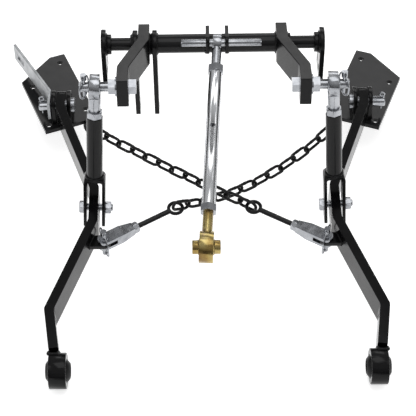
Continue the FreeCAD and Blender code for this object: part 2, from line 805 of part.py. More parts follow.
def lift_link(side_name, side):
    top = link_top(side)
    turn = link_turn(side)
    nut = hex_piece(side_name + "_link_jam_nut", "$jam_nut_across", "$jam_nut_thick",
                    "($rod_shank_dia + 2 * $pin_play)")
    keep(nut, top + turn.multVec(vector(0, 0, -size("rod_neck_end"))), turn.multiply(down_turn))
    tube_start = "($rod_neck_end + $jam_nut_thick)"
    link_tube = turned(side_name + "_link_tube", [
        (tube_start, "$rod_shank_dia / 2 + $pin_play"),
        ("$link_tube_end", "$rod_shank_dia / 2 + $pin_play"),
        ("$link_tube_end", "$link_tube_dia / 2"),
        (tube_start, "$link_tube_dia / 2"),
    ])
    keep(link_tube, top, turn.multiply(down_turn))

    name = side_name + "_link_clevis"
    clevis = new_body(name)
    front = new_sketch(clevis, "XZ_Plane", name + "_front")
    outer = "($clevis_inside / 2 + $clevis_wall)"
    inner = "$clevis_inside / 2"
    draw_polyline(front, [
        ("-" + outer, "-$clevis_end"),
        ("-" + inner, "-$clevis_end"),
        ("-" + inner, "-$link_tube_end - $clevis_wall"),
        (inner, "-$link_tube_end - $clevis_wall"),
        (inner, "-$clevis_end"),
        (outer, "-$clevis_end"),
        (outer, "-$link_tube_end"),
        ("-" + outer, "-$link_tube_end"),
    ])
    pad(clevis, front, "$clevis_depth")
    crown_height = -size("link_tube_end")
    outside = size("clevis_inside") / 2 + size("clevis_wall")

    def outer_shoulder(edge):
        middle = edge.CenterOfMass
        return runs_along(edge, FORWARD) and abs(middle.z - crown_height) < 0.1 and abs(middle.x) > outside - 0.1

    def inner_shoulder(edge):
        middle = edge.CenterOfMass
        below = crown_height - size("clevis_wall")
        return runs_along(edge, FORWARD) and abs(middle.z - below) < 0.1

    round_edges(clevis, "$clevis_shoulder", outer_shoulder)
    round_edges(clevis, "$clevis_shoulder - $clevis_wall", inner_shoulder)
    hole = new_sketch(clevis, "YZ_Plane", name + "_hole")
    draw_circle(hole, "0", "-$link_length", "$clevis_bolt_dia / 2 + $pin_play")
    pocket(clevis, hole, "$clevis_inside * 3")
    keep(clevis, top, turn)

    half_span = "($clevis_inside / 2 + $clevis_wall)"
    bolt_name = side_name + "_clevis_bolt"
    bolt = new_body(bolt_name + "_shank")
    head = new_sketch(bolt, "YZ_Plane", bolt_name + "_head", "-%s - $clevis_head_thick / 2" % half_span)
    draw_hexagon(head, "$clevis_head_across")
    pad(bolt, head, "$clevis_head_thick")
    shank = new_sketch(bolt, "YZ_Plane", bolt_name + "_rod", "($clevis_nut_thick + 3) / 2")
    draw_circle(shank, "0", "0", "$clevis_bolt_dia / 2")
    pad(bolt, shank, "2 * %s + $clevis_nut_thick + 3" % half_span)
    nut = hex_piece(bolt_name + "_nut", "$clevis_head_across", "$clevis_nut_thick",
                    "($clevis_bolt_dia + 2 * $pin_play)")
    bolt_centre = top + turn.multVec(vector(0, 0, -size("link_length")))
    nut_start = bolt_centre + turn.multVec(vector(size("clevis_inside") / 2 + size("clevis_wall"), 0, 0))
    bolt.Placement = FreeCAD.Placement(bolt_centre, turn)
    nut.Placement = FreeCAD.Placement(nut_start, turn)
    group(bolt_name, [bolt, nut])


for side_name, side in SIDES.items():
    rod_end(side_name, side)
    lift_link(side_name, side)


# Lower arms, drawn in a frame with the pivot at the origin and the bar running along -Y

def lower_arm(side_name, side):
    name = side_name + "_lower_arm"
    inset = "%d * ($pivot_offset - $clevis_bolt_offset)" % -side
    path = [
        ("0", "$arm_heel"),
        ("0", "-$arm_first_bend"),
        (inset, "-($arm_bolt_reach - $arm_second_bend_before_bolt)"),
        (inset, "-($arm_bolt_reach + $arm_third_bend_after_bolt)"),
        ("%d * $arm_fourth_bend_inset" % -side, "-$arm_fourth_bend"),
        ("%d * $arm_tip_inset" % -side, "-($ball_reach - $socket_dia / 2 + 1)"),
    ]
    body = bent_bar(name, path, "$arm_thick", "$arm_high")
    soften_bends(body, "$arm_thick * 0.7", (-size("ball_reach") + size("socket_dia"), size("arm_heel") - 1))

    def heel_edge(edge):
        return runs_along(edge, ACROSS) and edge.CenterOfMass.y > size("arm_heel") - 0.1

    round_edges(body, "$arm_heel * 0.8", heel_edge)
    holes = new_sketch(body, "YZ_Plane", name + "_pivot_hole")
    draw_circle(holes, "0", "0", "$pivot_pin_dia / 2 + $pin_play")
    pocket(body, holes, "$arm_thick * 3")
    bolt_hole = new_sketch(body, "YZ_Plane", name + "_bolt_hole", inset)
    draw_circle(bolt_hole, "-($arm_bolt_reach + $arm_hole_shift)", "0", "$clevis_bolt_dia / 2 + $arm_bolt_play")
    pocket(body, bolt_hole, "$arm_thick * 3")
    socket_space = new_sketch(body, "YZ_Plane", name + "_socket_cut", "%d * $arm_tip_inset" % -side)
    draw_circle(socket_space, "-$ball_reach", "0", "$socket_dia / 2")
    pocket(body, socket_space, "$arm_thick * 6")
    keep(body, arm_place(side), arm_turn)

    socket_name = side_name + "_ball_socket"
    outside, seat = ring_with_seat(socket_name, "$socket_dia", "$socket_width",
                                   "$lower_ball_dia / 2 + $ball_gap")
    socket = doc.addObject("Part::Cut", socket_name)
    socket.Label = socket_name
    socket.Base = outside
    socket.Tool = seat
    centre = on_arm(side, size("pivot_offset") - size("ball_offset"), size("ball_reach"))
    keep(socket, centre, arm_turn)
    keep(ball(side_name + "_lower_ball", "$lower_ball_dia", "$lower_ball_width", "$lower_ball_bore"),
         centre, arm_turn)


def chain_tab(side_name, side):
    """Round ended tab on the inner side of the arm, holding the yoke."""
    name = side_name + "_chain_tab"
    body = new_body(name)
    outline = new_sketch(body, "XY_Plane", name + "_outline")
    bolt_inset = "($pivot_offset - $clevis_bolt_offset)"
    flare = "((%s - $arm_fourth_bend_inset) / ($arm_fourth_bend - $arm_bolt_reach" \
            " - $arm_third_bend_after_bolt))" % bolt_inset
    start = "($arm_bolt_reach + $arm_third_bend_after_bolt)"

    def face_at(reach):
        half = "$arm_thick / 2 * sqrt(1 + %s^2)" % flare
        inset = "%s - %s * (%s - %s) + %s" % (bolt_inset, flare, reach, start, half)
        return "%d * (%s)" % (-side, inset)

    near = "($tab_reach - $tab_radius)"
    far = "($tab_reach + $tab_radius)"
    tip = "%d * ($yoke_pin_inset + $tab_radius)" % -side
    draw_polyline(outline, [
        (face_at(near), "-" + near),
        (face_at(far), "-" + far),
        (tip, "-" + far),
        (tip, "-" + near),
    ])
    pad(body, outline, "$tab_thick")
    edge_x = size("yoke_pin_inset") + size("tab_radius")

    def tip_edge(edge):
        return runs_along(edge, UP) and abs(abs(edge.CenterOfMass.x) - edge_x) < 0.1

    round_edges(body, "$tab_radius - 0.5", tip_edge)
    hole = new_sketch(body, "XY_Plane", name + "_hole")
    draw_circle(hole, "%d * $yoke_pin_inset" % -side, "-$tab_reach", "$yoke_pin_dia / 2 + $pin_play")
    pocket(body, hole, "$tab_thick * 3")
    keep(body, arm_place(side), arm_turn)


# Stabilisers, drawn along +X from the yoke pin

def yoke_turn(side):
    """The yoke points across and forwards in the plane of the arm."""
    yaw = size("yoke_yaw") if side == LEFT else 180 - size("yoke_yaw")
    return arm_turn.multiply(FreeCAD.Rotation(UP, yaw))


def yoke_pin_point(side):
    return on_arm(side, size("yoke_pin_inset"), size("tab_reach"))


def stabiliser(side_name, side):
    point = yoke_pin_point(side)
    turn = yoke_turn(side)
    name = side_name + "_stabiliser_yoke"
    yoke = new_body(name)
    half = "($tab_thick / 2 + $yoke_side_gap + $yoke_prong)"
    prong_face = half
    profile = new_sketch(yoke, "XY_Plane", name + "_plan")
    draw_polyline(profile, [
        ("-$yoke_width / 2", "-$yoke_width / 2"),
        ("$yoke_slot_end + 12", "-$yoke_width / 2"),
        ("$yoke_length", "-$yoke_width / 2 + 3"),
        ("$yoke_length", "$yoke_width / 2 - 3"),
        ("$yoke_slot_end + 12", "$yoke_width / 2"),
        ("-$yoke_width / 2", "$yoke_width / 2"),
    ])
    pad(yoke, profile, "2 * " + half)
    end_x = size("yoke_width") / 2

    def round_end(edge):
        return runs_along(edge, UP) and edge.CenterOfMass.x < -end_x + 0.1

    round_edges(yoke, "$yoke_width / 2 - 0.5", round_end)
    slot = new_sketch(yoke, "XZ_Plane", name + "_slot")
    gap = "($tab_thick / 2 + $yoke_side_gap)"
    draw_polyline(slot, [
        ("-$yoke_width", "-" + gap),
        ("$yoke_slot_end", "-" + gap),
        ("$yoke_slot_end", gap),
        ("-$yoke_width", gap),
    ])
    pocket(yoke, slot, "$yoke_width * 2")
    taper = new_sketch(yoke, "XZ_Plane", name + "_taper")
    for way in ("", "-"):
        draw_polyline(taper, [
            ("$yoke_slot_end + 12", way + half),
            ("$yoke_length", "%s(%s - 3)" % (way, half)),
            ("$yoke_length + 5", "%s(%s + 3)" % (way, half)),
        ])
    pocket(yoke, taper, "$yoke_width * 2")
    pin_hole = new_sketch(yoke, "XY_Plane", name + "_pin_hole")
    draw_circle(pin_hole, "0", "0", "$yoke_pin_dia / 2 + $pin_play")
    pocket(yoke, pin_hole, "$yoke_width * 3")
    thread = new_sketch(yoke, "YZ_Plane", name + "_thread", "$yoke_length")
    draw_circle(thread, "0", "0", "$eye_bolt_dia / 2 + $pin_play")
    pocket(yoke, thread, "2 * ($yoke_length - $yoke_slot_end + 2)")
    keep(yoke, point, turn)

    pin = turned(side_name + "_yoke_pin", [
        ("-$yoke_pin_length / 2", "0"),
        ("$yoke_pin_length / 2", "0"),
        ("$yoke_pin_length / 2", "$yoke_pin_dia / 2"),
        (prong_face + " + 5", "$yoke_pin_dia / 2"),
        (prong_face + " + 5", "$yoke_pin_dia / 2 + 3"),
        (prong_face + " + 0.2", "$yoke_pin_dia / 2 + 3"),
        (prong_face + " + 0.2", "$yoke_pin_dia / 2"),
        ("-$yoke_pin_length / 2", "$yoke_pin_dia / 2"),
    ])
    play = "($snap_wire / 2 + 0.7)"
    ring_hole = new_sketch(pin, "XZ_Plane", side_name + "_ring_hole")
    draw_circle(ring_hole, "$snap_ring_radius - 0.3", "0", play)
    pocket(pin, ring_hole, "$yoke_pin_dia * 3")
    ring_notch = new_sketch(pin, "XZ_Plane", side_name + "_ring_notch")
    draw_polyline(ring_notch, [
        ("0.3 - $snap_ring_radius - " + play, play),
        ("0.3 - $snap_ring_radius + " + play, play),
        ("0.3 - $snap_ring_radius + " + play, "-$yoke_pin_dia"),
        ("0.3 - $snap_ring_radius - " + play, "-$yoke_pin_dia"),
    ])
    pocket(pin, ring_notch, "$yoke_pin_dia * 3")
    swung = turn.multiply(FreeCAD.Rotation(UP, side * size("snap_ring_swing")))
    keep(pin, point, swung.multiply(FreeCAD.Rotation(FORWARD, -90)))
    ring = wire_ring(side_name + "_snap_ring", "$snap_ring_radius", "$snap_wire")
    keep(ring, point, swung.multiply(across_ring))

    bolt_name = side_name + "_eye_bolt"
    rod = new_body(bolt_name + "_rod")
    length = "($eye_reach - $eye_ring_radius - $yoke_slot_end - 2)"
    section = new_sketch(rod, "YZ_Plane", bolt_name + "_section",
                         "($eye_reach - $eye_ring_radius + $yoke_slot_end + 2) / 2")
    draw_circle(section, "0", "0", "$eye_bolt_dia / 2")
    pad(rod, section, length)
    eye = wire_ring(bolt_name + "_ring", "$eye_ring_radius", "$eye_wire")
    eye.setExpression(".Placement.Base.x", bound("$eye_reach"))
    bolt = doc.addObject("Part::Fuse", bolt_name + "_whole")
    bolt.Base = rod
    bolt.Tool = eye
    bolt.Placement = FreeCAD.Placement(point, turn)
    nut = hex_piece(bolt_name + "_nut", "$eye_nut_across", "$eye_nut_thick", "($eye_bolt_dia + 2 * $pin_play)")
    nut.Placement = FreeCAD.Placement(point + turn.multVec(vector(size("yoke_length"), 0, 0)), turn)
    group(bolt_name, [bolt, nut])


def plate_turn(side):
    return FreeCAD.Rotation(UP, -side * size("plate_yaw"))


def plate_corner(side):
    level = -size("pivot_below") - size("plate_below_pivot") - size("plate_thick") / 2
    return vector(side * size("plate_corner_offset"), size("plate_corner_forward"), level)


def anchor_point(side):
    """Centre of the chain anchor ring, behind the rear edge of the mount plate."""
    behind = size("anchor_stub") + size("eye_ring_radius")
    return plate_corner(side) + plate_turn(side).multVec(vector(-side * size("anchor_inset"), -behind, 0))


def chain_ends(side):
    """Middle of the eye of the bolt and of the far anchor ring."""
    eye = yoke_pin_point(side) + yoke_turn(side).multVec(vector(size("eye_reach"), 0, 0))
    return eye, anchor_point(-side)


def chain_link(pitch, width, wire):
    """One welded link along X, lying in the XY plane."""
    bend = (width - wire) / 2
    straight = pitch + wire - 2 * bend
    pieces = []
    for way in (-1, 1):
        rod = Part.makeCylinder(wire / 2, straight, vector(-straight / 2, way * bend, 0), ACROSS)
        turn = Part.makeTorus(bend, wire / 2, vector(way * straight / 2, 0, 0), UP, -180, 180, 180)
        turn.rotate(vector(way * straight / 2, 0, 0), UP, -90 * way)
        pieces += [rod, turn]
    link = pieces[0].multiFuse(pieces[1:])
    return link.removeSplitter()


def chain(side_name, side, sag_alias):
    """Links along a sagging line from the eye bolt to the far mount plate."""
    eye, far = chain_ends(side)
    hook = eye + (far - eye).normalize() * size("eye_ring_radius")
    span = far - hook
    first = (size("chain_wire") / 2 - size("chain_slack") - size("eye_ring_radius")) / span.Length
    last = 1 - (size("eye_ring_radius") - size("eye_wire") / 2 - size("chain_end_gap")) / span.Length
    sag = size(sag_alias)

    def along(share):
        share = first + (last - first) * share
        return hook + span * share - UP * (4 * sag * share * (1 - share))

    fine = 400
    steps = [(along((step + 1) / fine) - along(step / fine)).Length for step in range(fine)]
    count = 2 * round(sum(steps) / size("chain_pitch") / 2)
    pitch = sum(steps) / count
    places = [along(0)]
    walked = 0
    for step in range(fine):
        walked += steps[step]
        if walked >= pitch * len(places) - pitch / fine:
            places.append(along((step + 1) / fine))
    wire = size("chain_wire")
    made = []
    for index in range(len(places) - 1):
        start = places[index]
        way = places[index + 1] - start
        centre = start + way * 0.5
        align = FreeCAD.Rotation(way, FreeCAD.Vector(0, 0, 0), UP, "XZY")
        roll = FreeCAD.Rotation(ACROSS, 90 if index % 2 == 0 else 0)
        link = chain_link(way.Length, size("chain_link_width"), wire)
        link.Placement = FreeCAD.Placement(centre, align.multiply(roll))
        made.append(link)
    item = doc.addObject("Part::Feature", side_name + "_stabiliser_chain")
    item.Label = side_name + "_stabiliser_chain"
    item.Shape = Part.makeCompound(made)
    nodes.append(item)
    print(side_name, "chain links", len(made))


def chain_anchor(side_name, side):
    """Ring on a short stub, welded to the rear edge of the mount plate."""
    name = side_name + "_chain_anchor"
    stub = new_body(name + "_stub")
    section = new_sketch(stub, "XZ_Plane", name + "_section", "-($anchor_stub + $eye_wire / 2) / 2")
    draw_circle(section, "0", "0", "$anchor_dia / 2")
    pad(stub, section, "$anchor_stub + $eye_wire / 2")
    spot = plate_corner(side) + plate_turn(side).multVec(vector(-side * size("anchor_inset"), 0, 0))
    stub.Placement = FreeCAD.Placement(spot, plate_turn(side).multiply(FreeCAD.Rotation(UP, 180)))
    ring = wire_ring(name + "_ring", "$eye_ring_radius", "$eye_wire")
    eye, far = chain_ends(-side)
    heading = math.degrees(math.atan2(far.y - eye.y, far.x - eye.x))
    stand = FreeCAD.Rotation(UP, heading).multiply(FreeCAD.Rotation(ACROSS, 90))
    ring.Placement = FreeCAD.Placement(anchor_point(side), stand)
    made = doc.addObject("Part::Fuse", name)
    made.Base = stub
    made.Tool = ring
    anchors.append(made)


for side_name, side in SIDES.items():
    lower_arm(side_name, side)
    chain_tab(side_name, side)
    stabiliser(side_name, side)
    chain_anchor(side_name, side)
group("chain_anchors", anchors)
chain("left", LEFT, "left_chain_sag")
chain("right", RIGHT, "right_chain_sag")


# Mount plates, drawn with the outer rear corner at the origin and the long edge along +Y

def mount_plate(side_name, side):
    name = side_name + "_mount_plate"
    body = new_body(name)
    outline = new_sketch(body, "XY_Plane", name + "_outline")
    inward = -side
    draw_polyline(outline, [
        ("0", "0"),
        ("%d * $plate_width" % inward, "0"),
        ("%d * $plate_width" % inward, "$plate_length"),
        ("%d * $plate_cut_across" % inward, "$plate_length"),
        ("0", "$plate_length - $plate_cut_along"),
    ])
    for across_text, along_text in (
            ("$plate_width - 16", "$plate_length - 23"),
            ("16", "$plate_length - $plate_cut_along - 20"),
            ("11", "14"),
            ("$plate_width - 14", "30")):
        draw_circle(outline, "%d * (%s)" % (inward, across_text), along_text, "$plate_hole_dia / 2")
    pad(body, outline, "$plate_thick")
    keep(body, plate_corner(side), plate_turn(side))


def pivot_ears(side_name, side):
    """Two upright ears on the mount plate, either side of the arm."""
    members = []
    for way_name, way in (("inner", -side), ("outer", side)):
        name = "%s_%s_ear" % (side_name, way_name)
        body = new_body(name)
        face = new_sketch(body, "YZ_Plane", name + "_face")
        low = "-$plate_below_pivot"
        draw_polyline(face, [
            ("$ear_forward_shift - $ear_length / 2", low),
            ("$ear_forward_shift + $ear_length / 2", low),
            ("$ear_forward_shift + $ear_length / 2", "$ear_rise"),
            ("$ear_forward_shift - $ear_length / 2", "$ear_rise"),
        ])
        pad(body, face, "$ear_thick")

        def top_edge(edge):
            return runs_along(edge, ACROSS) and edge.CenterOfMass.z > 0

        round_edges(body, "$ear_length / 2 - 2", top_edge)
        hole = new_sketch(body, "YZ_Plane", name + "_hole")
        draw_circle(hole, "0", "0", "$pivot_pin_dia / 2 + $pin_play")
        pocket(body, hole, "$ear_thick * 3")
        stand_off = size("arm_thick") / 2 + size("ear_side_gap") + size("ear_thick") / 2
        body.Placement = FreeCAD.Placement(arm_place(side) + vector(way * stand_off, 0, 0), FreeCAD.Rotation())
        members.append(body)
    group(side_name + "_pivot_ears", members)


cotters = []


def pivot_pin(side_name, side):
    """Pin with an inner head; its long outer tail carries a cotter pin."""
    reach = "($arm_thick / 2 + $ear_side_gap + $ear_thick)"
    name = side_name + "_pivot_pin"
    stop = reach + " + $pin_tail"
    body = turned(name, [
        ("-%s - 6" % reach, "0"),
        (stop, "0"),
        (stop, "$pivot_pin_dia / 2 - 1.5"),
        (stop + " - 2", "$pivot_pin_dia / 2"),
        ("-" + reach, "$pivot_pin_dia / 2"),
        ("-" + reach, "$pivot_pin_dia / 2 + 4"),
        ("-%s - 6" % reach, "$pivot_pin_dia / 2 + 4"),
    ])
    cross = new_sketch(body, "XY_Plane", name + "_cross_hole")
    draw_circle(cross, stop + " - 6", "0", "$cotter_wire / 2 + $pin_play")
    pocket(body, cross, "$pivot_pin_dia * 3")
    outward = FreeCAD.Rotation(UP, 0 if side == RIGHT else 180)
    keep(body, arm_place(side), outward)
    half = size("arm_thick") / 2 + size("ear_side_gap") + size("ear_thick")
    spot = arm_place(side) + vector(side * (half + size("pin_tail") - 6), 0, 0)
    leg = doc.addObject("Part::Cylinder", side_name + "_cotter_leg")
    leg.setExpression("Radius", bound("$cotter_wire / 2"))
    leg.setExpression("Height", bound("$pivot_pin_dia + 12"))
    leg.Placement = FreeCAD.Placement(vector(0, 0, -size("pivot_pin_dia") / 2 - 8), FreeCAD.Rotation())
    head = wire_ring(side_name + "_cotter_head", "4", "$cotter_wire")
    lift = size("pivot_pin_dia") / 2 + 7
    head.Placement = FreeCAD.Placement(vector(0, 0, lift), FreeCAD.Rotation(ACROSS, 90))
    cotter = doc.addObject("Part::Fuse", side_name + "_cotter_pin")
    cotter.Base = leg
    cotter.Tool = head
    cotter.Placement = FreeCAD.Placement(spot, FreeCAD.Rotation())
    cotters.append(cotter)


for side_name, side in SIDES.items():
    mount_plate(side_name, side)
    pivot_ears(side_name, side)
    pivot_pin(side_name, side)
group("pivot_cotter_pins", cotters)


# Top link, drawn along +X from the upper pin

top_turn = FreeCAD.Rotation(ACROSS, size("top_link_drop")).multiply(
    FreeCAD.Rotation(UP, -90 - size("top_link_swing")))
top_origin = top_pin_point + vector(size("lug_centre_offset"), 0, 0)


def upper_end():
    """Plain eye with a threaded shank."""
    name = "top_link_upper_eye"
    body = new_body(name)
    eye = new_sketch(body, "XZ_Plane", name + "_eye")
    draw_circle(eye, "0", "0", "$top_eye_dia / 2")
    pad(body, eye, "$top_eye_width")
    thread_start = "($top_eye_dia / 2 - 4)"
    shank = new_sketch(body, "YZ_Plane", name + "_shank",
                       "(%s + $top_tube_start + $thread_grip) / 2" % thread_start)
    draw_circle(shank, "0", "0", "$top_thread_dia / 2")
    pad(body, shank, "$top_tube_start + $thread_grip - %s" % thread_start)
    hole = new_sketch(body, "XZ_Plane", name + "_hole")
    draw_circle(hole, "0", "0", "$top_pin_dia / 2 + $eye_play")
    pocket(body, hole, "$top_eye_width * 3")
    keep(body, top_origin, top_turn)


def lower_end():
    """Threaded shank with a ring that holds the ball."""
    name = "top_link_lower_end"
    body = new_body(name)
    ring = new_sketch(body, "XZ_Plane", name + "_ring")
    draw_circle(ring, "$top_link_length", "0", "$top_socket_dia / 2")
    pad(body, ring, "$top_socket_width")
    thread_end = "($top_link_length - $top_socket_dia / 2 + 4)"
    shank = new_sketch(body, "YZ_Plane", name + "_shank",
                       "(%s + $top_tube_end - $thread_grip) / 2" % thread_end)
    draw_circle(shank, "0", "0", "$top_thread_dia / 2")
    pad(body, shank, "%s - $top_tube_end + $thread_grip" % thread_end)
    seat = doc.addObject("Part::Sphere", name + "_seat")
    seat.setExpression("Radius", bound("$top_ball_dia / 2 + $ball_gap"))
    seat.Placement = FreeCAD.Placement(vector(0, 0, 0), FreeCAD.Rotation(ACROSS, 90))
    seat.setExpression(".Placement.Base.x", bound("$top_link_length"))
    made = doc.addObject("Part::Cut", name + "_cut")
    body.Label = name + "_blank"
    made.Label = name
    made.Base = body
    made.Tool = seat
    keep(made, top_origin, top_turn)


def top_ball():
    """Bored ball with a collar on each side."""
    name = "top_link_ball"
    whole = doc.addObject("Part::Sphere", name + "_sphere")
    whole.setExpression("Radius", bound("$top_ball_dia / 2"))
    whole.Placement = FreeCAD.Placement(vector(0, 0, 0), FreeCAD.Rotation(FORWARD, 90))
    collars = doc.addObject("Part::Cylinder", name + "_collars")
    collars.setExpression("Radius", bound("$top_ball_collar_dia / 2"))
    collars.setExpression("Height", bound("$top_ball_width"))
    lay_across(collars, "$top_ball_width")
    bore = doc.addObject("Part::Cylinder", name + "_bore")
    bore.setExpression("Radius", bound("$top_ball_bore / 2"))
    bore.setExpression("Height", bound("$top_ball_width * 2"))
    lay_across(bore, "$top_ball_width * 2")
    both = doc.addObject("Part::Fuse", name + "_both")
    both.Base = whole
    both.Tool = collars
    made = doc.addObject("Part::Cut", name)
    made.Label = name
    made.Base = both
    made.Tool = bore
    centre = top_origin + top_turn.multVec(vector(size("top_link_length"), 0, 0))
    keep(made, centre)


def turnbuckle():
    name = "top_link_tube"
    body = new_body(name)
    section = new_sketch(body, "XY_Plane", name + "_section")
    draw_polyline(section, [
        ("$top_tube_start", "$top_thread_dia / 2 + $pin_play"),
        ("$top_tube_end", "$top_thread_dia / 2 + $pin_play"),
        ("$top_tube_end", "$top_tube_dia / 2"),
        ("$top_tube_start", "$top_tube_dia / 2"),
    ])
    revolve(body, section)
    cross = new_sketch(body, "XY_Plane", name + "_tommy_hole")
    draw_circle(cross, "$tommy_hole_reach", "0", "$tommy_hole_dia / 2")
    pocket(body, cross, "$top_tube_dia * 3")
    keep(body, top_origin, top_turn)


upper_end()
lower_end()
top_ball()
turnbuckle()
for nut_name, start_text in (
        ("top_link_upper_nut", "$top_tube_start - $jam_nut_thick"),
        ("top_link_lower_nut", "$top_tube_end")):
    nut = hex_piece(nut_name, "$jam_nut_across", "$jam_nut_thick", "($top_thread_dia + 2 * $pin_play)")
    keep(nut, top_origin + top_turn.multVec(vector(number(start_text), 0, 0)), top_turn)


# Slotted strap on the tail of the left pivot pin

strap = bent_bar("slotted_strap", [
    ("0", "-$strap_high / 2"),
    ("0", "$strap_straight"),
    ("-$strap_out", "$strap_forward"),
], "$strap_thick", "$strap_high")
strap_hole = new_sketch(strap, "YZ_Plane", "strap_pin_hole")
draw_circle(strap_hole, "0", "0", "$pivot_pin_dia / 2 + $pin_play * 2")
pocket(strap, strap_hole, "$strap_thick * 3")
strap_slot = new_sketch(strap, "YZ_Plane", "strap_slot", "-$strap_out")
slot_middle = "($strap_forward - $strap_slot_long)"
draw_polyline(strap_slot, [
    (slot_middle + " - $strap_slot_long / 2", "-$strap_slot_wide / 2"),
    (slot_middle + " + $strap_slot_long / 2", "-$strap_slot_wide / 2"),
    (slot_middle + " + $strap_slot_long / 2", "$strap_slot_wide / 2"),
    (slot_middle + " - $strap_slot_long / 2", "$strap_slot_wide / 2"),
])
pocket(strap, strap_slot, "$strap_out * 1.8")
strap_stand_off = size("arm_thick") / 2 + size("ear_side_gap") + size("ear_thick") + size("strap_thick")
keep(strap, arm_place(LEFT) + vector(-strap_stand_off, 0, 0))


# Export

sheet.clear("D1")
doc.recompute()
for item in doc.Objects:
    for word in ("Invalid", "Error"):
        if word in item.State:
            raise RuntimeError("%s is %s" % (item.Name, item.State))
for item in nodes:
    if item.Shape.isNull() or not item.Shape.isValid():
        raise RuntimeError("%s has no valid shape" % item.Label)
    print("%-30s solids %d  volume %9.0f" % (item.Label, len(item.Shape.Solids), item.Shape.Volume))
for item in nodes:
    item.Shape.exportStep(os.path.join("parts", item.Label + ".step"))
print("nodes", len(nodes), "arm drop", round(arm_drop, 3), "arm bolt reach", round(arm_bolt_reach, 3))
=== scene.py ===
import json
import math
import random

import bpy
import numpy as np
from mathutils import Matrix, Quaternion, Vector


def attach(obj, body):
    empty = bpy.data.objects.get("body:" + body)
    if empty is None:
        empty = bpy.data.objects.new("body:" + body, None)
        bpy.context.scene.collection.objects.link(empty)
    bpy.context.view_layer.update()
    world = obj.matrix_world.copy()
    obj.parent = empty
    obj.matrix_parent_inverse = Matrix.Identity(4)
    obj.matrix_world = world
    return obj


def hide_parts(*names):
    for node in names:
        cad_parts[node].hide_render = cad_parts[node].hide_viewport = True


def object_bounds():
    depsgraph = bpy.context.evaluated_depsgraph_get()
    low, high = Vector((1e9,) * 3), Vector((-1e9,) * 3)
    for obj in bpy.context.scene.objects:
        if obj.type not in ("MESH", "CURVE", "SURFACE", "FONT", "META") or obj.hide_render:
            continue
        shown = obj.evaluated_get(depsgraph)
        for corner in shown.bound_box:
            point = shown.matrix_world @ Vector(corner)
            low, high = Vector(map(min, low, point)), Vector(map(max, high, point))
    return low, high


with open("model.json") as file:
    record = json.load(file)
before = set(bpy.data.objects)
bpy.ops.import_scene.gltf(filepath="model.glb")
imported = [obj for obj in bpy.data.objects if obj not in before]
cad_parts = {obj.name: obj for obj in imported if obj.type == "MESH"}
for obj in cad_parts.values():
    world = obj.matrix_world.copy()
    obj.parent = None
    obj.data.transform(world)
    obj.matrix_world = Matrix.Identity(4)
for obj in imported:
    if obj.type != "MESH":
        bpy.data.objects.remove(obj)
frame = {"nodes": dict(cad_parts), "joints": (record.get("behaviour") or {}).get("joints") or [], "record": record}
nodes = frame["nodes"]
first_low, first_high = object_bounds()

MM = 0.001
SIDES = {"left": -1, "right": 1}
X, Y, Z = Vector((1, 0, 0)), Vector((0, 1, 0)), Vector((0, 0, 1))
joints = {joint["name"]: joint for joint in frame["joints"]}


def joint_point(name):
    return Vector(joints[name]["pos_m"])


def joint_axis(name):
    return Vector(joints[name]["axis"]).normalized()


# Materials

class Surface:
    """A node material with a few helpers for procedural texture."""

    def __init__(self, name, color, metallic, roughness):
        self.material = bpy.data.materials.new(name)
        self.material.use_nodes = True
        self.tree = self.material.node_tree
        self.shader = self.tree.nodes["Principled BSDF"]
        self.shader.inputs["Base Color"].default_value = (*color, 1)
        self.shader.inputs["Metallic"].default_value = metallic
        self.shader.inputs["Roughness"].default_value = roughness
        self.place = self.tree.nodes.new("ShaderNodeTexCoord")
        self.height = None

    def noise(self, scale, detail=3.0, roughness=0.5, stretch=None):
        texture = self.tree.nodes.new("ShaderNodeTexNoise")
        texture.inputs["Scale"].default_value = scale
        texture.inputs["Detail"].default_value = detail
        texture.inputs["Roughness"].default_value = roughness
        source = self.place.outputs["Object"]
        if stretch:
            mapping = self.tree.nodes.new("ShaderNodeMapping")
            mapping.inputs["Scale"].default_value = stretch
            self.tree.links.new(source, mapping.inputs["Vector"])
            source = mapping.outputs["Vector"]
        self.tree.links.new(source, texture.inputs["Vector"])
        return texture.outputs["Fac"]

    def ramp(self, value, stops):
        node = self.tree.nodes.new("ShaderNodeValToRGB")
        self.tree.links.new(value, node.inputs["Fac"])
        elements = node.color_ramp.elements
        while len(elements) < len(stops):
            elements.new(0.5)
        for element, (position, color) in zip(elements, stops):
            element.position = position
            element.color = (*color, 1)
        return node.outputs["Color"]

    def spread(self, value, low, high, start=0.3, end=0.7):
        node = self.tree.nodes.new("ShaderNodeMapRange")
        self.tree.links.new(value, node.inputs["Value"])
        node.inputs["From Min"].default_value = start
        node.inputs["From Max"].default_value = end
        node.inputs["To Min"].default_value = low
        node.inputs["To Max"].default_value = high
        return node.outputs["Result"]

    def feed(self, value, socket):
        self.tree.links.new(value, self.shader.inputs[socket])

    def bump(self, value, strength, distance):
        node = self.tree.nodes.new("ShaderNodeBump")
        node.inputs["Strength"].default_value = strength
        node.inputs["Distance"].default_value = distance
        self.tree.links.new(value, node.inputs["Height"])
        if self.height is not None:
            self.tree.links.new(self.height, node.inputs["Normal"])
        self.height = node.outputs["Normal"]
        self.tree.links.new(self.height, self.shader.inputs["Normal"])

    def wear_and_sheen_edges(self, base, wear_and_sheen, amount):
        """Mixes in a lighter colour where the surface turns sharply: partly rubbed wear, partly a painted sheen on
        the edges.
        """
        pointiness = self.tree.nodes.new("ShaderNodeNewGeometry").outputs["Pointiness"]
        mask = self.spread(pointiness, 0.0, amount, 0.53, 0.60)
        mix = self.tree.nodes.new("ShaderNodeMix")
        mix.data_type = "RGBA"
        self.tree.links.new(mask, mix.inputs["Factor"])
        self.tree.links.new(base, mix.inputs["A"])
        mix.inputs["B"].default_value = (*wear_and_sheen, 1)
        self.feed(mix.outputs["Result"], "Base Color")


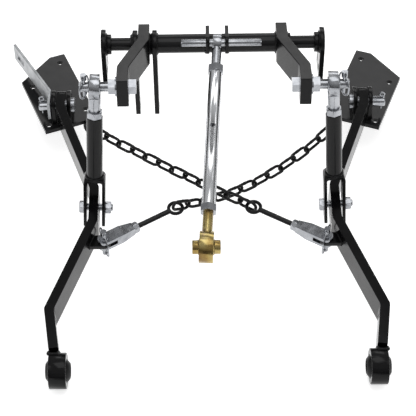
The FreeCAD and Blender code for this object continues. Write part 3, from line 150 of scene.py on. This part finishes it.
def black_paint():
    """Powder coat with a faint orange peel and a little dust."""
    surface = Surface("black_paint", (0.003, 0.003, 0.0033), 0.0, 0.3)
    tone = surface.ramp(surface.noise(18, 5), [
        (0.35, (0.002, 0.002, 0.0023)),
        (0.75, (0.004, 0.004, 0.0044)),
    ])
    # Lighter convex edges: partly rubbed paint, partly a painted sheen where the edges catch light
    surface.wear_and_sheen_edges(tone, wear_and_sheen=(0.02, 0.02, 0.021), amount=0.5)
    surface.feed(surface.spread(surface.noise(60, 4), low=0.13, high=0.22), "Roughness")
    surface.bump(surface.noise(420, 2), strength=0.05, distance=0.0003)
    surface.bump(surface.noise(30, 2), strength=0.08, distance=0.002)
    surface.shader.inputs["Specular IOR Level"].default_value = 0.16
    return surface.material


def dark_oxide():
    """Black oxide on forged and welded steel."""
    surface = Surface("dark_oxide", (0.004, 0.004, 0.0044), 0.0, 0.42)
    tone = surface.ramp(surface.noise(70, 6), [
        (0.35, (0.002, 0.002, 0.0024)),
        (0.75, (0.007, 0.007, 0.0075)),
    ])
    # Lighter convex edges: partly rubbed oxide, partly a painted sheen where the edges catch light
    surface.wear_and_sheen_edges(tone, wear_and_sheen=(0.03, 0.03, 0.031), amount=0.6)
    surface.feed(surface.spread(surface.noise(140, 4), low=0.30, high=0.52), "Roughness")
    surface.bump(surface.noise(500, 4), strength=0.16, distance=0.0005)
    surface.shader.inputs["Specular IOR Level"].default_value = 0.2
    return surface.material


def zinc_plate():
    """Bright zinc plate with a cloudy bloom and fine turning marks."""
    bright, dark = (0.40, 0.41, 0.43), (0.26, 0.27, 0.29)
    surface = Surface("zinc_plate", bright, 1.0, 0.22)
    surface.feed(surface.ramp(surface.noise(55, 5, 0.6), [(0.3, dark), (0.7, bright)]), "Base Color")
    surface.feed(surface.spread(surface.noise(120, 5), low=0.17, high=0.29), "Roughness")
    surface.bump(surface.noise(700, 3), strength=0.08, distance=0.0002)
    surface.bump(surface.noise(90, 2), strength=0.04, distance=0.0004)
    return surface.material


def bright_zinc_tube():
    """Plated tube with a faint cloudy bloom."""
    surface = Surface("bright_zinc_tube", (0.66, 0.67, 0.69), 1.0, 0.18)
    tone = surface.ramp(surface.noise(30, 4), [
        (0.3, (0.58, 0.59, 0.61)),
        (0.7, (0.70, 0.71, 0.73)),
    ])
    surface.feed(tone, "Base Color")
    surface.feed(surface.spread(surface.noise(70, 4), low=0.15, high=0.21), "Roughness")
    return surface.material


def yellow_zinc():
    """Yellow chromate over zinc, shifting from straw to brown."""
    surface = Surface("yellow_zinc", (0.34, 0.26, 0.10), 1.0, 0.24)
    tone = surface.ramp(surface.noise(30, 3, 0.55), [
        (0.30, (0.15, 0.09, 0.04)),
        (0.45, (0.30, 0.21, 0.07)),
        (0.58, (0.42, 0.34, 0.14)),
        (0.72, (0.34, 0.22, 0.15)),
    ])
    surface.feed(tone, "Base Color")
    surface.feed(surface.spread(surface.noise(160, 4), low=0.16, high=0.32), "Roughness")
    surface.bump(surface.noise(600, 3), strength=0.04, distance=0.0002)
    return surface.material


def grey_strap():
    """Plated flat bar with rolling marks and dull patches."""
    surface = Surface("grey_strap", (0.36, 0.37, 0.38), 1.0, 0.38)
    tone = surface.ramp(surface.noise(35, 6), [
        (0.3, (0.28, 0.29, 0.30)),
        (0.7, (0.42, 0.43, 0.44)),
    ])
    surface.feed(tone, "Base Color")
    surface.feed(surface.spread(surface.noise(90, 5), low=0.32, high=0.5), "Roughness")
    rolling = surface.noise(1, 3, stretch=(60, 900, 900))
    surface.bump(rolling, strength=0.12, distance=0.0003)
    return surface.material


materials = {
    "black_paint": black_paint(),
    "dark_oxide": dark_oxide(),
    "zinc_plate": zinc_plate(),
    "bright_zinc_tube": bright_zinc_tube(),
    "yellow_zinc": yellow_zinc(),
    "grey_strap": grey_strap(),
}
JOIN_WITHIN = 0.01 * MM
node_slot = {entry["node"]: entry["material_slot"] for entry in frame["record"]["subparts"]}
for name, node in nodes.items():
    node.data.materials.clear()
    node.data.materials.append(materials[node_slot[name]])
    weld = node.modifiers.new("join", "WELD")
    weld.merge_threshold = JOIN_WITHIN


def soften(name, width):
    """Rounds the sharp edges of a flat piece so that they catch light."""
    bevel = nodes[name].modifiers.new("edges", "BEVEL")
    bevel.width = width * MM
    bevel.segments = 2
    bevel.limit_method = "ANGLE"
    bevel.angle_limit = math.radians(40)
    bevel.harden_normals = True


# Edge widths in mm, first of the pieces that both sides have

PAIRED_EDGES = {
    "lower_arm": 1.2,
    "lift_arm": 1.2,
    "hanger": 1.0,
    "pivot_ears": 0.8,
    "link_clevis": 1.0,
    "chain_tab": 0.8,
    "ball_socket": 4.5,
    "rod_end": 2.5,
}
SINGLE_EDGES = {
    "top_link_upper_eye": 2.5,
    "outer_actuator_lever": 0.8,
    "inner_actuator_lever": 0.8,
    "top_link_lugs": 0.8,
    "slotted_strap": 0.8,
    "top_link_lower_end": 4,
    "top_link_ball": 1,
}
for side_name in SIDES:
    for piece, width in PAIRED_EDGES.items():
        soften(side_name + "_" + piece, width)
for name, width in SINGLE_EDGES.items():
    soften(name, width)


# Small forms that the solids leave out: threads, weld beads, chamfered nuts, smooth rings and chain

def put(name, points, faces, body, slot_name, sharp=35):
    """A mesh with its own finish that moves with a body of the frame."""
    mesh = bpy.data.meshes.new(name)
    mesh.from_pydata([tuple(point) for point in points], [], faces)
    mesh.update()
    for polygon in mesh.polygons:
        polygon.use_smooth = True
    mesh.set_sharp_from_angle(angle=math.radians(sharp))
    item = bpy.data.objects.new(name, mesh)
    bpy.context.scene.collection.objects.link(item)
    mesh.materials.append(materials[slot_name])
    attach(item, body)
    return item


def skin(rings, looped=False, capped=True):
    """Points and faces of a surface drawn through rings that have equal counts."""
    count = len(rings[0])
    points = [point for ring in rings for point in ring]
    faces = []
    last = len(rings) if looped else len(rings) - 1
    for row in range(last):
        after = (row + 1) % len(rings)
        for step in range(count):
            turn = (step + 1) % count
            faces.append((row * count + step, row * count + turn,
                          after * count + turn, after * count + step))
    if capped and not looped:
        faces.append(tuple(reversed(range(count))))
        faces.append(tuple(range((len(rings) - 1) * count, len(rings) * count)))
    return points, faces


def joined(parts):
    """Several (points, faces) pairs as one."""
    points, faces = [], []
    for more_points, more_faces in parts:
        start = len(points)
        points += more_points
        faces += [tuple(index + start for index in face) for face in more_faces]
    return points, faces


def sides_of(axis):
    """Two directions square to an axis and to each other."""
    axis = axis.normalized()
    helper = Z if abs(axis.z) < 0.9 else X
    first = helper.cross(axis).normalized()
    return first, axis.cross(first)


def along_path(path, radius_at, looped, around=12):
    """A round bar along a path, its radius given step by step."""
    total = len(path)
    rings = []
    first = None
    for index, point in enumerate(path):
        ahead = path[(index + 1) % total] if looped or index + 1 < total else point
        behind = path[index - 1] if looped or index > 0 else point
        heading = (ahead - behind).normalized()
        if first is None:
            first = sides_of(heading)[0]
        first = (first - heading * first.dot(heading)).normalized()
        second = heading.cross(first)
        radius = radius_at(index)
        angles = [2 * math.pi * step / around for step in range(around)]
        rings.append([point + first * (radius * math.cos(angle)) + second * (radius * math.sin(angle))
                      for angle in angles])
    return skin(rings, looped)


def even_path(corners, step, looped):
    """Points at equal steps along straight runs between corners."""
    ends = corners + corners[:1] if looped else corners
    path = []
    for start, end in zip(ends, ends[1:]):
        count = max(1, round((end - start).length / step))
        path += [start + (end - start) * (index / count) for index in range(count)]
    return path if looped else path + [ends[-1]]


def circle(centre, axis, radius, start=0.0, end=360.0, zero=None, count=96):
    """Points round an axis, from start to end in degrees from the zero direction."""
    first, second = sides_of(axis)
    if zero is not None:
        first = zero.normalized()
        second = axis.normalized().cross(first)
    full = abs(end - start) >= 360
    steps = count if full else count + 1
    return [centre + (first * math.cos(angle) + second * math.sin(angle)) * radius for angle in (
        math.radians(start + (end - start) * index / count) for index in range(steps))]


BEAD_STEP = 0.45 * MM
BEAD_PITCH = 5
BEAD_UNEVEN = 0.07
BEAD_LOW, BEAD_RIPPLE = 0.86, 0.16
BEAD_TIP = 0.35
BEAD_TAPER = 6


def weld_bead(name, body, corners, size, looped):
    """Fillet weld with the ripples that a moving puddle leaves."""
    dice = random.Random(name)
    path = even_path(corners, BEAD_STEP, looped)
    swell = [dice.uniform(-BEAD_UNEVEN, BEAD_UNEVEN) for _ in range(len(path) // BEAD_PITCH + 2)]

    def radius_at(index):
        ripple = abs(math.sin(math.pi * index / BEAD_PITCH))
        edge = 1.0
        if not looped:
            edge = min(1.0, BEAD_TIP + min(index, len(path) - 1 - index) / BEAD_TAPER)
        return size * MM * edge * (BEAD_LOW + BEAD_RIPPLE * ripple + swell[index // BEAD_PITCH])

    return put(name, *along_path(path, radius_at, looped, 8), body, "black_paint", 60)


THREAD_CLEARANCE = 0.03


def thread(name, body, start, axis, radius, pitch, length, slot_name, depth=0.45):
    """Cut thread whose crests stand just over the plain shank."""
    axis = axis.normalized()
    first, second = sides_of(axis)
    rows_per_turn = 6
    around = 36
    rows = max(2, round(length / pitch * rows_per_turn))
    rings = []
    for row in range(rows + 1):
        height = length * row / rows
        fade = min(1.0, min(height, length - height) / pitch)
        ring = []
        for step in range(around):
            phase = (height / pitch - step / around) % 1.0
            tooth = 1 - abs(2 * phase - 1)
            reach = radius + THREAD_CLEARANCE + depth * tooth * fade
            angle = 2 * math.pi * step / around
            ring.append(start + axis * (height * MM)
                        + (first * math.cos(angle) + second * math.sin(angle)) * (reach * MM))
        rings.append(ring)
    return put(name, *skin(rings), body, slot_name, 80)


FLAT_SHARE = 0.98
HOLE_CHAMFER = 0.8


def hexagon(centre, axis, across, thick, hole, chamfer_both=True, flat=None):
    """Points and faces of a hexagon nut or head with turned corners."""
    axis = axis.normalized()
    first, second = sides_of(axis)
    if flat is not None:
        first = (flat - axis * flat.dot(axis)).normalized()
        second = axis.cross(first)
    around = 72
    corner = across / math.sqrt(3)
    inner = across / 2 * FLAT_SHARE
    drop = (corner - inner) * math.tan(math.radians(30))
    levels = [0.0, drop * 0.5, drop, thick - drop, thick - drop * 0.5, thick]
    if not chamfer_both:
        levels = [0.0, thick - drop, thick - drop * 0.5, thick]
    cone = math.tan(math.radians(60))

    def outline(angle, level):
        inside = ((angle + math.pi / 6) % (math.pi / 3)) - math.pi / 6
        flats = across / 2 / math.cos(inside)
        limit = inner + (thick - level) * cone
        if chamfer_both:
            limit = min(limit, inner + level * cone)
        return min(flats, limit)

    rings = []
    angles = [2 * math.pi * step / around for step in range(around)]
    for level in levels:
        ring = []
        for angle in angles:
            reach = outline(angle, level)
            ring.append(centre + axis * (level * MM)
                        + (first * math.cos(angle) + second * math.sin(angle)) * (reach * MM))
        rings.append(ring)
    if hole:
        for level in (thick, thick - HOLE_CHAMFER, HOLE_CHAMFER, 0.0):
            reach = hole / 2 + (HOLE_CHAMFER if level in (thick, 0.0) else 0.0)
            rings.append([centre + axis * (level * MM)
                          + (first * math.cos(angle) + second * math.sin(angle)) * (reach * MM)
                          for angle in angles])
        return skin(rings, looped=True)
    return skin(rings)


def turn_about(axis, degrees):
    return Quaternion(axis, math.radians(degrees))


# Places taken from the frame, and the angles in degrees and lengths in mm of part.py

LINK_LEAN = 8
ARM_DROP = 6.809
LINK_TILT = 3.042
YOKE_YAW = 30.5
LINK_LENGTH = 245
arm_turn = turn_about(X, ARM_DROP)


class Side:
    """Local axes of the pieces on one side."""

    def __init__(self, name, side):
        self.name = name
        self.side = side
        self.link_top = joint_point(name + "_link_swing")
        self.link_turn = turn_about(X, -LINK_LEAN) @ turn_about(Y, -side * LINK_TILT)
        self.arm_place = joint_point(name + "_arm_lift")
        self.yoke_place = joint_point(name + "_yoke_swing")
        yaw = 180 - YOKE_YAW if side > 0 else YOKE_YAW
        self.yoke_turn = arm_turn @ turn_about(Z, yaw)

    def link(self, across, along, down):
        return self.link_top + self.link_turn @ (Vector((across, along, -down)) * MM)

    def arm(self, inset, back, up=0):
        return self.arm_place + arm_turn @ (Vector((-self.side * inset, -back, up)) * MM)

    def yoke(self, ahead, across=0, up=0):
        return self.yoke_place + self.yoke_turn @ (Vector((ahead, across, up)) * MM)

    @property
    def link_down(self):
        return self.link_turn @ -Z

    @property
    def link_across(self):
        return self.link_turn @ X


both = [Side(name, side) for name, side in SIDES.items()]

# Welds on the rockshaft

TUBE_RADIUS = 16
TUBE_WELDS = {
    "left_arm_inner": -106.5,
    "right_arm_inner": 106.5,
    "right_arm_outer": 125.5,
    "inner_lever_right": -94,
    "inner_lever_left": -102,
    "outer_lever_left": -135,
}
for name, offset in TUBE_WELDS.items():
    seam = circle(X * offset * MM, X, (TUBE_RADIUS + 0.5) * MM)
    weld_bead(name + "_weld", "rockshaft", seam, 2.2, True)
LUG_WELDS = {"left_lug": -12, "right_lug": 26}
LUG_WELD_FROM, LUG_WELD_TO = 8, 96
for name, offset in LUG_WELDS.items():
    seam = circle(X * offset * MM, X, (TUBE_RADIUS + 0.3) * MM, LUG_WELD_FROM, LUG_WELD_TO, zero=-Y)
    weld_bead(name + "_weld", "rockshaft", seam, 1.7, False)
COLLAR_END = 180
COLLAR_RADIUS = 17.4
for side_name, side in SIDES.items():
    weld_bead(side_name + "_collar_weld", "tractor_mounts",
              circle(X * side * COLLAR_END * MM, X, COLLAR_RADIUS * MM), 1.8, True)

# Lift links: threads, jam nuts, clevis bolts and the weld between tube and clevis

# Each nut or head is its width across flats, its thickness and its hole

ROD_NECK_END = 46
JAM_NUT = (24, 12, 15.6)
TUBE_END = 178
TUBE_OUTSIDE = 13.5
BOLT_RADIUS = 6
CLEVIS_HALF = 18.5
CLEVIS_HEAD = (19, 8, 0)
CLEVIS_NUT = (19, 10, 2 * BOLT_RADIUS - 0.4)
BOLT_TIP = CLEVIS_HALF + 13
BOLT_TIP_CHAMFER = 0.8
for it in both:
    body = it.name + "_link"
    jam_nut = hexagon(it.link(0, 0, ROD_NECK_END), it.link_down, *JAM_NUT, flat=it.link_across)
    nut = put(it.name + "_jam_nut_cut", *jam_nut, body, "zinc_plate")
    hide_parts(it.name + "_link_jam_nut")
    weld_bead(it.name + "_clevis_weld", body,
              circle(it.link(0, 0, TUBE_END), it.link_down, (TUBE_OUTSIDE + 0.4) * MM), 2.6, True)
    outward = it.link_across
    head = hexagon(it.link(-CLEVIS_HALF, 0, LINK_LENGTH), -outward, *CLEVIS_HEAD, chamfer_both=False)
    nut = hexagon(it.link(CLEVIS_HALF, 0, LINK_LENGTH), outward, *CLEVIS_NUT)
    shank_rings = []
    for reach, radius in ((-CLEVIS_HALF, BOLT_RADIUS), (BOLT_TIP - BOLT_TIP_CHAMFER, BOLT_RADIUS),
                          (BOLT_TIP, BOLT_RADIUS - BOLT_TIP_CHAMFER)):
        shank_rings.append(circle(it.link(reach, 0, LINK_LENGTH), outward, radius * MM, count=36))
    bolt = put(it.name + "_clevis_bolt_cut", *joined([head, nut, skin(shank_rings)]), body, "zinc_plate")
    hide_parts(it.name + "_clevis_bolt")
    thread(it.name + "_clevis_bolt_thread", body, it.link(CLEVIS_HALF + 9.6, 0, LINK_LENGTH), outward,
           radius=BOLT_RADIUS - 0.4, pitch=1.75, length=3.0, slot_name="zinc_plate", depth=0.4)

# Top link threads

top_start = joint_point("turnbuckle_turn")
top_along = joint_axis("turnbuckle_turn")
TOP_THREAD_RADIUS = 7.7
TOP_THREAD_PITCH = 2
TOP_THREAD_LENGTH = 36
FRONT_THREAD_START = 14
REAR_THREAD_START = 318
thread("top_link_front_thread", "top_link_front", top_start + top_along * FRONT_THREAD_START * MM,
       top_along, TOP_THREAD_RADIUS, TOP_THREAD_PITCH, TOP_THREAD_LENGTH, "zinc_plate")
thread("top_link_rear_thread", "top_link_rear", top_start + top_along * REAR_THREAD_START * MM,
       top_along, TOP_THREAD_RADIUS, TOP_THREAD_PITCH, TOP_THREAD_LENGTH, "yellow_zinc")

# Jam nuts on the stabiliser eye bolts

EYE_NUT = (17, 9.6, 9.2)
EYE_NUT_START = 55.2
for it in both:
    eye_nut = hexagon(it.yoke(EYE_NUT_START), it.yoke_turn @ X, *EYE_NUT, flat=it.yoke_turn @ Y)
    put(it.name + "_eye_nut_cut", *eye_nut, it.name + "_yoke", "zinc_plate")

# Welds on the lower arms

SOCKET_RADIUS = 29
BALL_REACH = 565
ARM_TIP_INSET = 14
ARM_HALF = 8
ARM_HALF_DEPTH = 24.5
BEND_INSET = 68
BEND_REACH = 283
BEND_SLOPE = -0.363
FACE_ACROSS = 8.6
TAB_REACHES = (301, 325)
TAB_LEVEL = 4.3
EAR_CENTRE = 275
EAR_FACE = 17.8
PLATE_TOP = -230.8
EAR_WELD_REACHES = (60, 100)
SEAM_STEPS = 14
for it in both:
    body = it.name + "_arm"
    corners = []
    seam_radius = SOCKET_RADIUS + 0.6
    swing = math.asin(ARM_HALF_DEPTH / SOCKET_RADIUS)
    for face, order in ((ARM_HALF, 1), (-ARM_HALF, -1)):
        for index in range(SEAM_STEPS + 1):
            angle = swing * (2 * index / SEAM_STEPS - 1) * order
            reach = seam_radius * math.cos(angle)
            rise = seam_radius * math.sin(angle)
            corners.append(it.arm(ARM_TIP_INSET + face * 0.96, BALL_REACH - reach, rise))
    weld_bead(it.name + "_socket_weld", body, corners, 2.8, True)
    for word, level in (("upper", TAB_LEVEL), ("lower", -TAB_LEVEL)):
        seam = [it.arm(BEND_INSET + (reach - BEND_REACH) * BEND_SLOPE + FACE_ACROSS, reach, level)
                for reach in TAB_REACHES]
        weld_bead("%s_%s_tab_weld" % (it.name, word), body, seam, 2.0, False)
    for word, offset in (("outer", EAR_FACE), ("inner", -EAR_FACE)):
        low = Vector((it.side * (EAR_CENTRE + offset), 0, PLATE_TOP)) * MM
        seam = [low + Y * reach * MM for reach in EAR_WELD_REACHES]
        weld_bead("%s_%s_ear_weld" % (it.name, word), "tractor_mounts", seam, 2.3, False)


# Chain links and wire rings, drawn smooth over the faceted solids of the frame

def loose_parts(node):
    """Vertex places of each separate solid in a node."""
    mesh = nodes[node].data
    places = [tuple(round(value * 1e6) for value in vertex.co) for vertex in mesh.vertices]
    parent = {place: place for place in places}

    def root(place):
        while parent[place] != place:
            parent[place] = parent[parent[place]]
            place = parent[place]
        return place

    for edge in mesh.edges:
        first, second = (root(places[index]) for index in edge.vertices)
        parent[first] = second
    groups = {}
    for place in parent:
        groups.setdefault(root(place), []).append(place)
    ordered = sorted(groups.values(), key=min)
    return [np.array(group) * 1e-6 for group in ordered]


def main_axes(points):
    """Centre of a solid's box and its long, middle and short directions with their extents."""
    values, vectors = np.linalg.eigh(np.cov((points - points.mean(0)).T))
    axes = [vectors[:, index] for index in (2, 1, 0)]
    spans = [(points @ axis).min() + (points @ axis).max() for axis in axes]
    extents = [np.ptp(points @ axis) for axis in axes]
    centre = sum((axis * span / 2 for axis, span in zip(axes, spans)), np.zeros(3))
    return Vector(centre), [Vector(axis) for axis in axes], extents


LINK_BEND_STEPS = 12
LINK_SIDE_STEPS = 12
LINK_WELD_AT = 18
LINK_WELD_REACH = 2.5
LINK_WELD_SWELL = 0.16


def chain_link(points, wire):
    """Smooth welded link over one solid of a chain."""
    centre, (length_way, width_way, _), (length, width, _) = main_axes(points)
    bend = (width - wire) / 2
    straight = (length - wire) / 2 - bend
    path = []
    for way in (1, -1):
        for index in range(LINK_BEND_STEPS + 1):
            angle = math.radians(-90 + 180 * index / LINK_BEND_STEPS)
            path.append(centre + length_way * way * (straight + bend * math.cos(angle))
                        + width_way * way * bend * math.sin(angle))
        if way == 1:
            for index in range(1, LINK_SIDE_STEPS):
                path.append(centre + length_way * straight * (1 - 2 * index / LINK_SIDE_STEPS)
                            + width_way * bend)

    def radius_at(index):
        near = max(0.0, 1 - abs(index - LINK_WELD_AT) / LINK_WELD_REACH)
        return wire / 2 * (1 + LINK_WELD_SWELL * near)

    return along_path(path, radius_at, True, 14)


CHAIN_WIRE = 5.4 * MM
for side_name in SIDES:
    node = side_name + "_stabiliser_chain"
    links = [chain_link(points, CHAIN_WIRE) for points in loose_parts(node)]
    chain = put(side_name + "_chain_links", *joined(links), side_name + "_chain", "dark_oxide", 60)
    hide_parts(node)

LYNCH_WIRE = 3 * MM
SNAP_WIRE = 2.6 * MM
for kind, body, wire in (("lynch_ring", "lynch", LYNCH_WIRE), ("snap_ring", "clip", SNAP_WIRE)):
    for side_name in SIDES:
        node = side_name + "_" + kind
        points = loose_parts(node)[0]
        centre, (_, _, normal), (long_way, _, _) = main_axes(points)
        rim = circle(centre, normal, long_way / 2 - wire / 2)
        wire_skin = along_path(rim, lambda index: wire / 2, True, 16)
        ring = put(side_name + "_" + kind + "_wire", *wire_skin, side_name + "_" + body, "zinc_plate", 60)
        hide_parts(node)

# Floor, light and camera

FLOOR_SIZE = 14
FLOOR_GAP = 0.006
FLOOR_GLOW = 0.62
SKY_FROM, SKY_TO = 0.05, 0.7
SKY_LOW, SKY_HIGH = 0.08, 0.55


def stage_material():
    """Pale floor that the camera and the metal see as white, with the object's shadow on it."""
    material = bpy.data.materials.new("backdrop_white")
    material.use_nodes = True
    tree = material.node_tree
    shader = tree.nodes["Principled BSDF"]
    shader.inputs["Roughness"].default_value = 0.9
    texture = tree.nodes.new("ShaderNodeTexNoise")
    texture.inputs["Scale"].default_value = 3.0
    ramp = tree.nodes.new("ShaderNodeValToRGB")
    ramp.color_ramp.elements[0].color = (0.90, 0.90, 0.90, 1)
    ramp.color_ramp.elements[1].color = (0.94, 0.94, 0.94, 1)
    tree.links.new(texture.outputs["Fac"], ramp.inputs["Fac"])
    tree.links.new(ramp.outputs["Color"], shader.inputs["Base Color"])
    glow = tree.nodes.new("ShaderNodeEmission")
    path = tree.nodes.new("ShaderNodeLightPath")
    either = tree.nodes.new("ShaderNodeMath")
    either.operation = "MAXIMUM"
    tree.links.new(path.outputs["Is Camera Ray"], either.inputs[0])
    tree.links.new(path.outputs["Is Glossy Ray"], either.inputs[1])
    level = tree.nodes.new("ShaderNodeMath")
    level.operation = "MULTIPLY"
    level.inputs[1].default_value = FLOOR_GLOW
    tree.links.new(either.outputs[0], level.inputs[0])
    tree.links.new(level.outputs[0], glow.inputs["Strength"])
    both = tree.nodes.new("ShaderNodeAddShader")
    tree.links.new(shader.outputs[0], both.inputs[0])
    tree.links.new(glow.outputs[0], both.inputs[1])
    tree.links.new(both.outputs[0], tree.nodes["Material Output"].inputs["Surface"])
    return material


bpy.ops.mesh.primitive_plane_add(size=FLOOR_SIZE, location=(0, 0, first_low.z - FLOOR_GAP))
floor = bpy.context.object
floor.name = "floor"
floor.data.materials.append(stage_material())

world = bpy.data.worlds.new("studio")
bpy.context.scene.world = world
world.use_nodes = True
background = world.node_tree.nodes["Background"]
background.inputs["Color"].default_value = (1, 1, 1, 1)

# The sky lights more from above, and the camera sees it white

sky_nodes, sky_links = world.node_tree.nodes, world.node_tree.links
sky_place = sky_nodes.new("ShaderNodeTexCoord")
sky_parts = sky_nodes.new("ShaderNodeSeparateXYZ")
sky_rise = sky_nodes.new("ShaderNodeMapRange")
sky_rise.inputs["From Min"].default_value = SKY_FROM
sky_rise.inputs["From Max"].default_value = SKY_TO
sky_rise.inputs["To Min"].default_value = SKY_LOW
sky_rise.inputs["To Max"].default_value = SKY_HIGH
sky_links.new(sky_place.outputs["Generated"], sky_parts.inputs["Vector"])
sky_links.new(sky_parts.outputs["Z"], sky_rise.inputs["Value"])
seen_white = sky_nodes.new("ShaderNodeLightPath")
brighter = sky_nodes.new("ShaderNodeMath")
brighter.operation = "MAXIMUM"
sky_links.new(sky_rise.outputs["Result"], brighter.inputs[0])
sky_links.new(seen_white.outputs["Is Camera Ray"], brighter.inputs[1])
sky_links.new(brighter.outputs[0], background.inputs["Strength"])


def softbox(name, place, width, height, power):
    """Area lamp that faces the middle of the part."""
    data = bpy.data.lights.new(name, "AREA")
    data.shape = "RECTANGLE"
    data.size = width
    data.size_y = height
    data.energy = power
    lamp = bpy.data.objects.new(name, data)
    lamp.location = place
    lamp.rotation_mode = "QUATERNION"
    lamp.rotation_quaternion = (LIT_PLACE - Vector(place)).to_track_quat("-Z", "Y")
    bpy.context.scene.collection.objects.link(lamp)


LIT_PLACE = Vector((0, -0.15, -0.1))
softbox("softbox_over", (0.1, -0.3, 2.2), width=1.6, height=1.6, power=15)
softbox("softbox_left", (-1.9, -0.9, 1.2), width=1.0, height=1.6, power=10)
softbox("softbox_right", (1.9, -0.6, 1.0), width=0.8, height=1.6, power=8)
softbox("softbox_back", (0.2, 1.9, 1.3), width=1.8, height=0.8, power=9)

FOCAL_PIXELS = 1400
PHOTO_PIXELS = 416
SENSOR_WIDTH = 36
PITCH, YAW, ROLL = math.radians(45.4), math.radians(0.7), math.radians(-0.3)
AIM = Vector((-12.4, -243.7, -150)) * MM
CAMERA_AWAY = 2304 * MM

forward = Vector((math.sin(YAW) * math.cos(PITCH), math.cos(YAW) * math.cos(PITCH), -math.sin(PITCH)))
level_right = forward.cross(Z).normalized()
level_up = level_right.cross(forward)
camera_right = level_right * math.cos(ROLL) + level_up * math.sin(ROLL)
camera_up = level_up * math.cos(ROLL) - level_right * math.sin(ROLL)
camera_data = bpy.data.cameras.new("camera")
camera_data.sensor_width = SENSOR_WIDTH
camera_data.lens = SENSOR_WIDTH * FOCAL_PIXELS / PHOTO_PIXELS
camera_data.clip_start = 0.05
camera_data.clip_end = 50
camera = bpy.data.objects.new("camera", camera_data)
camera.matrix_world = Matrix.Translation(AIM - forward * CAMERA_AWAY) @ Matrix(
    (camera_right, camera_up, -forward)).transposed().to_4x4()
bpy.context.scene.collection.objects.link(camera)
bpy.context.scene.camera = camera
bpy.context.scene.view_settings.view_transform = "Standard"
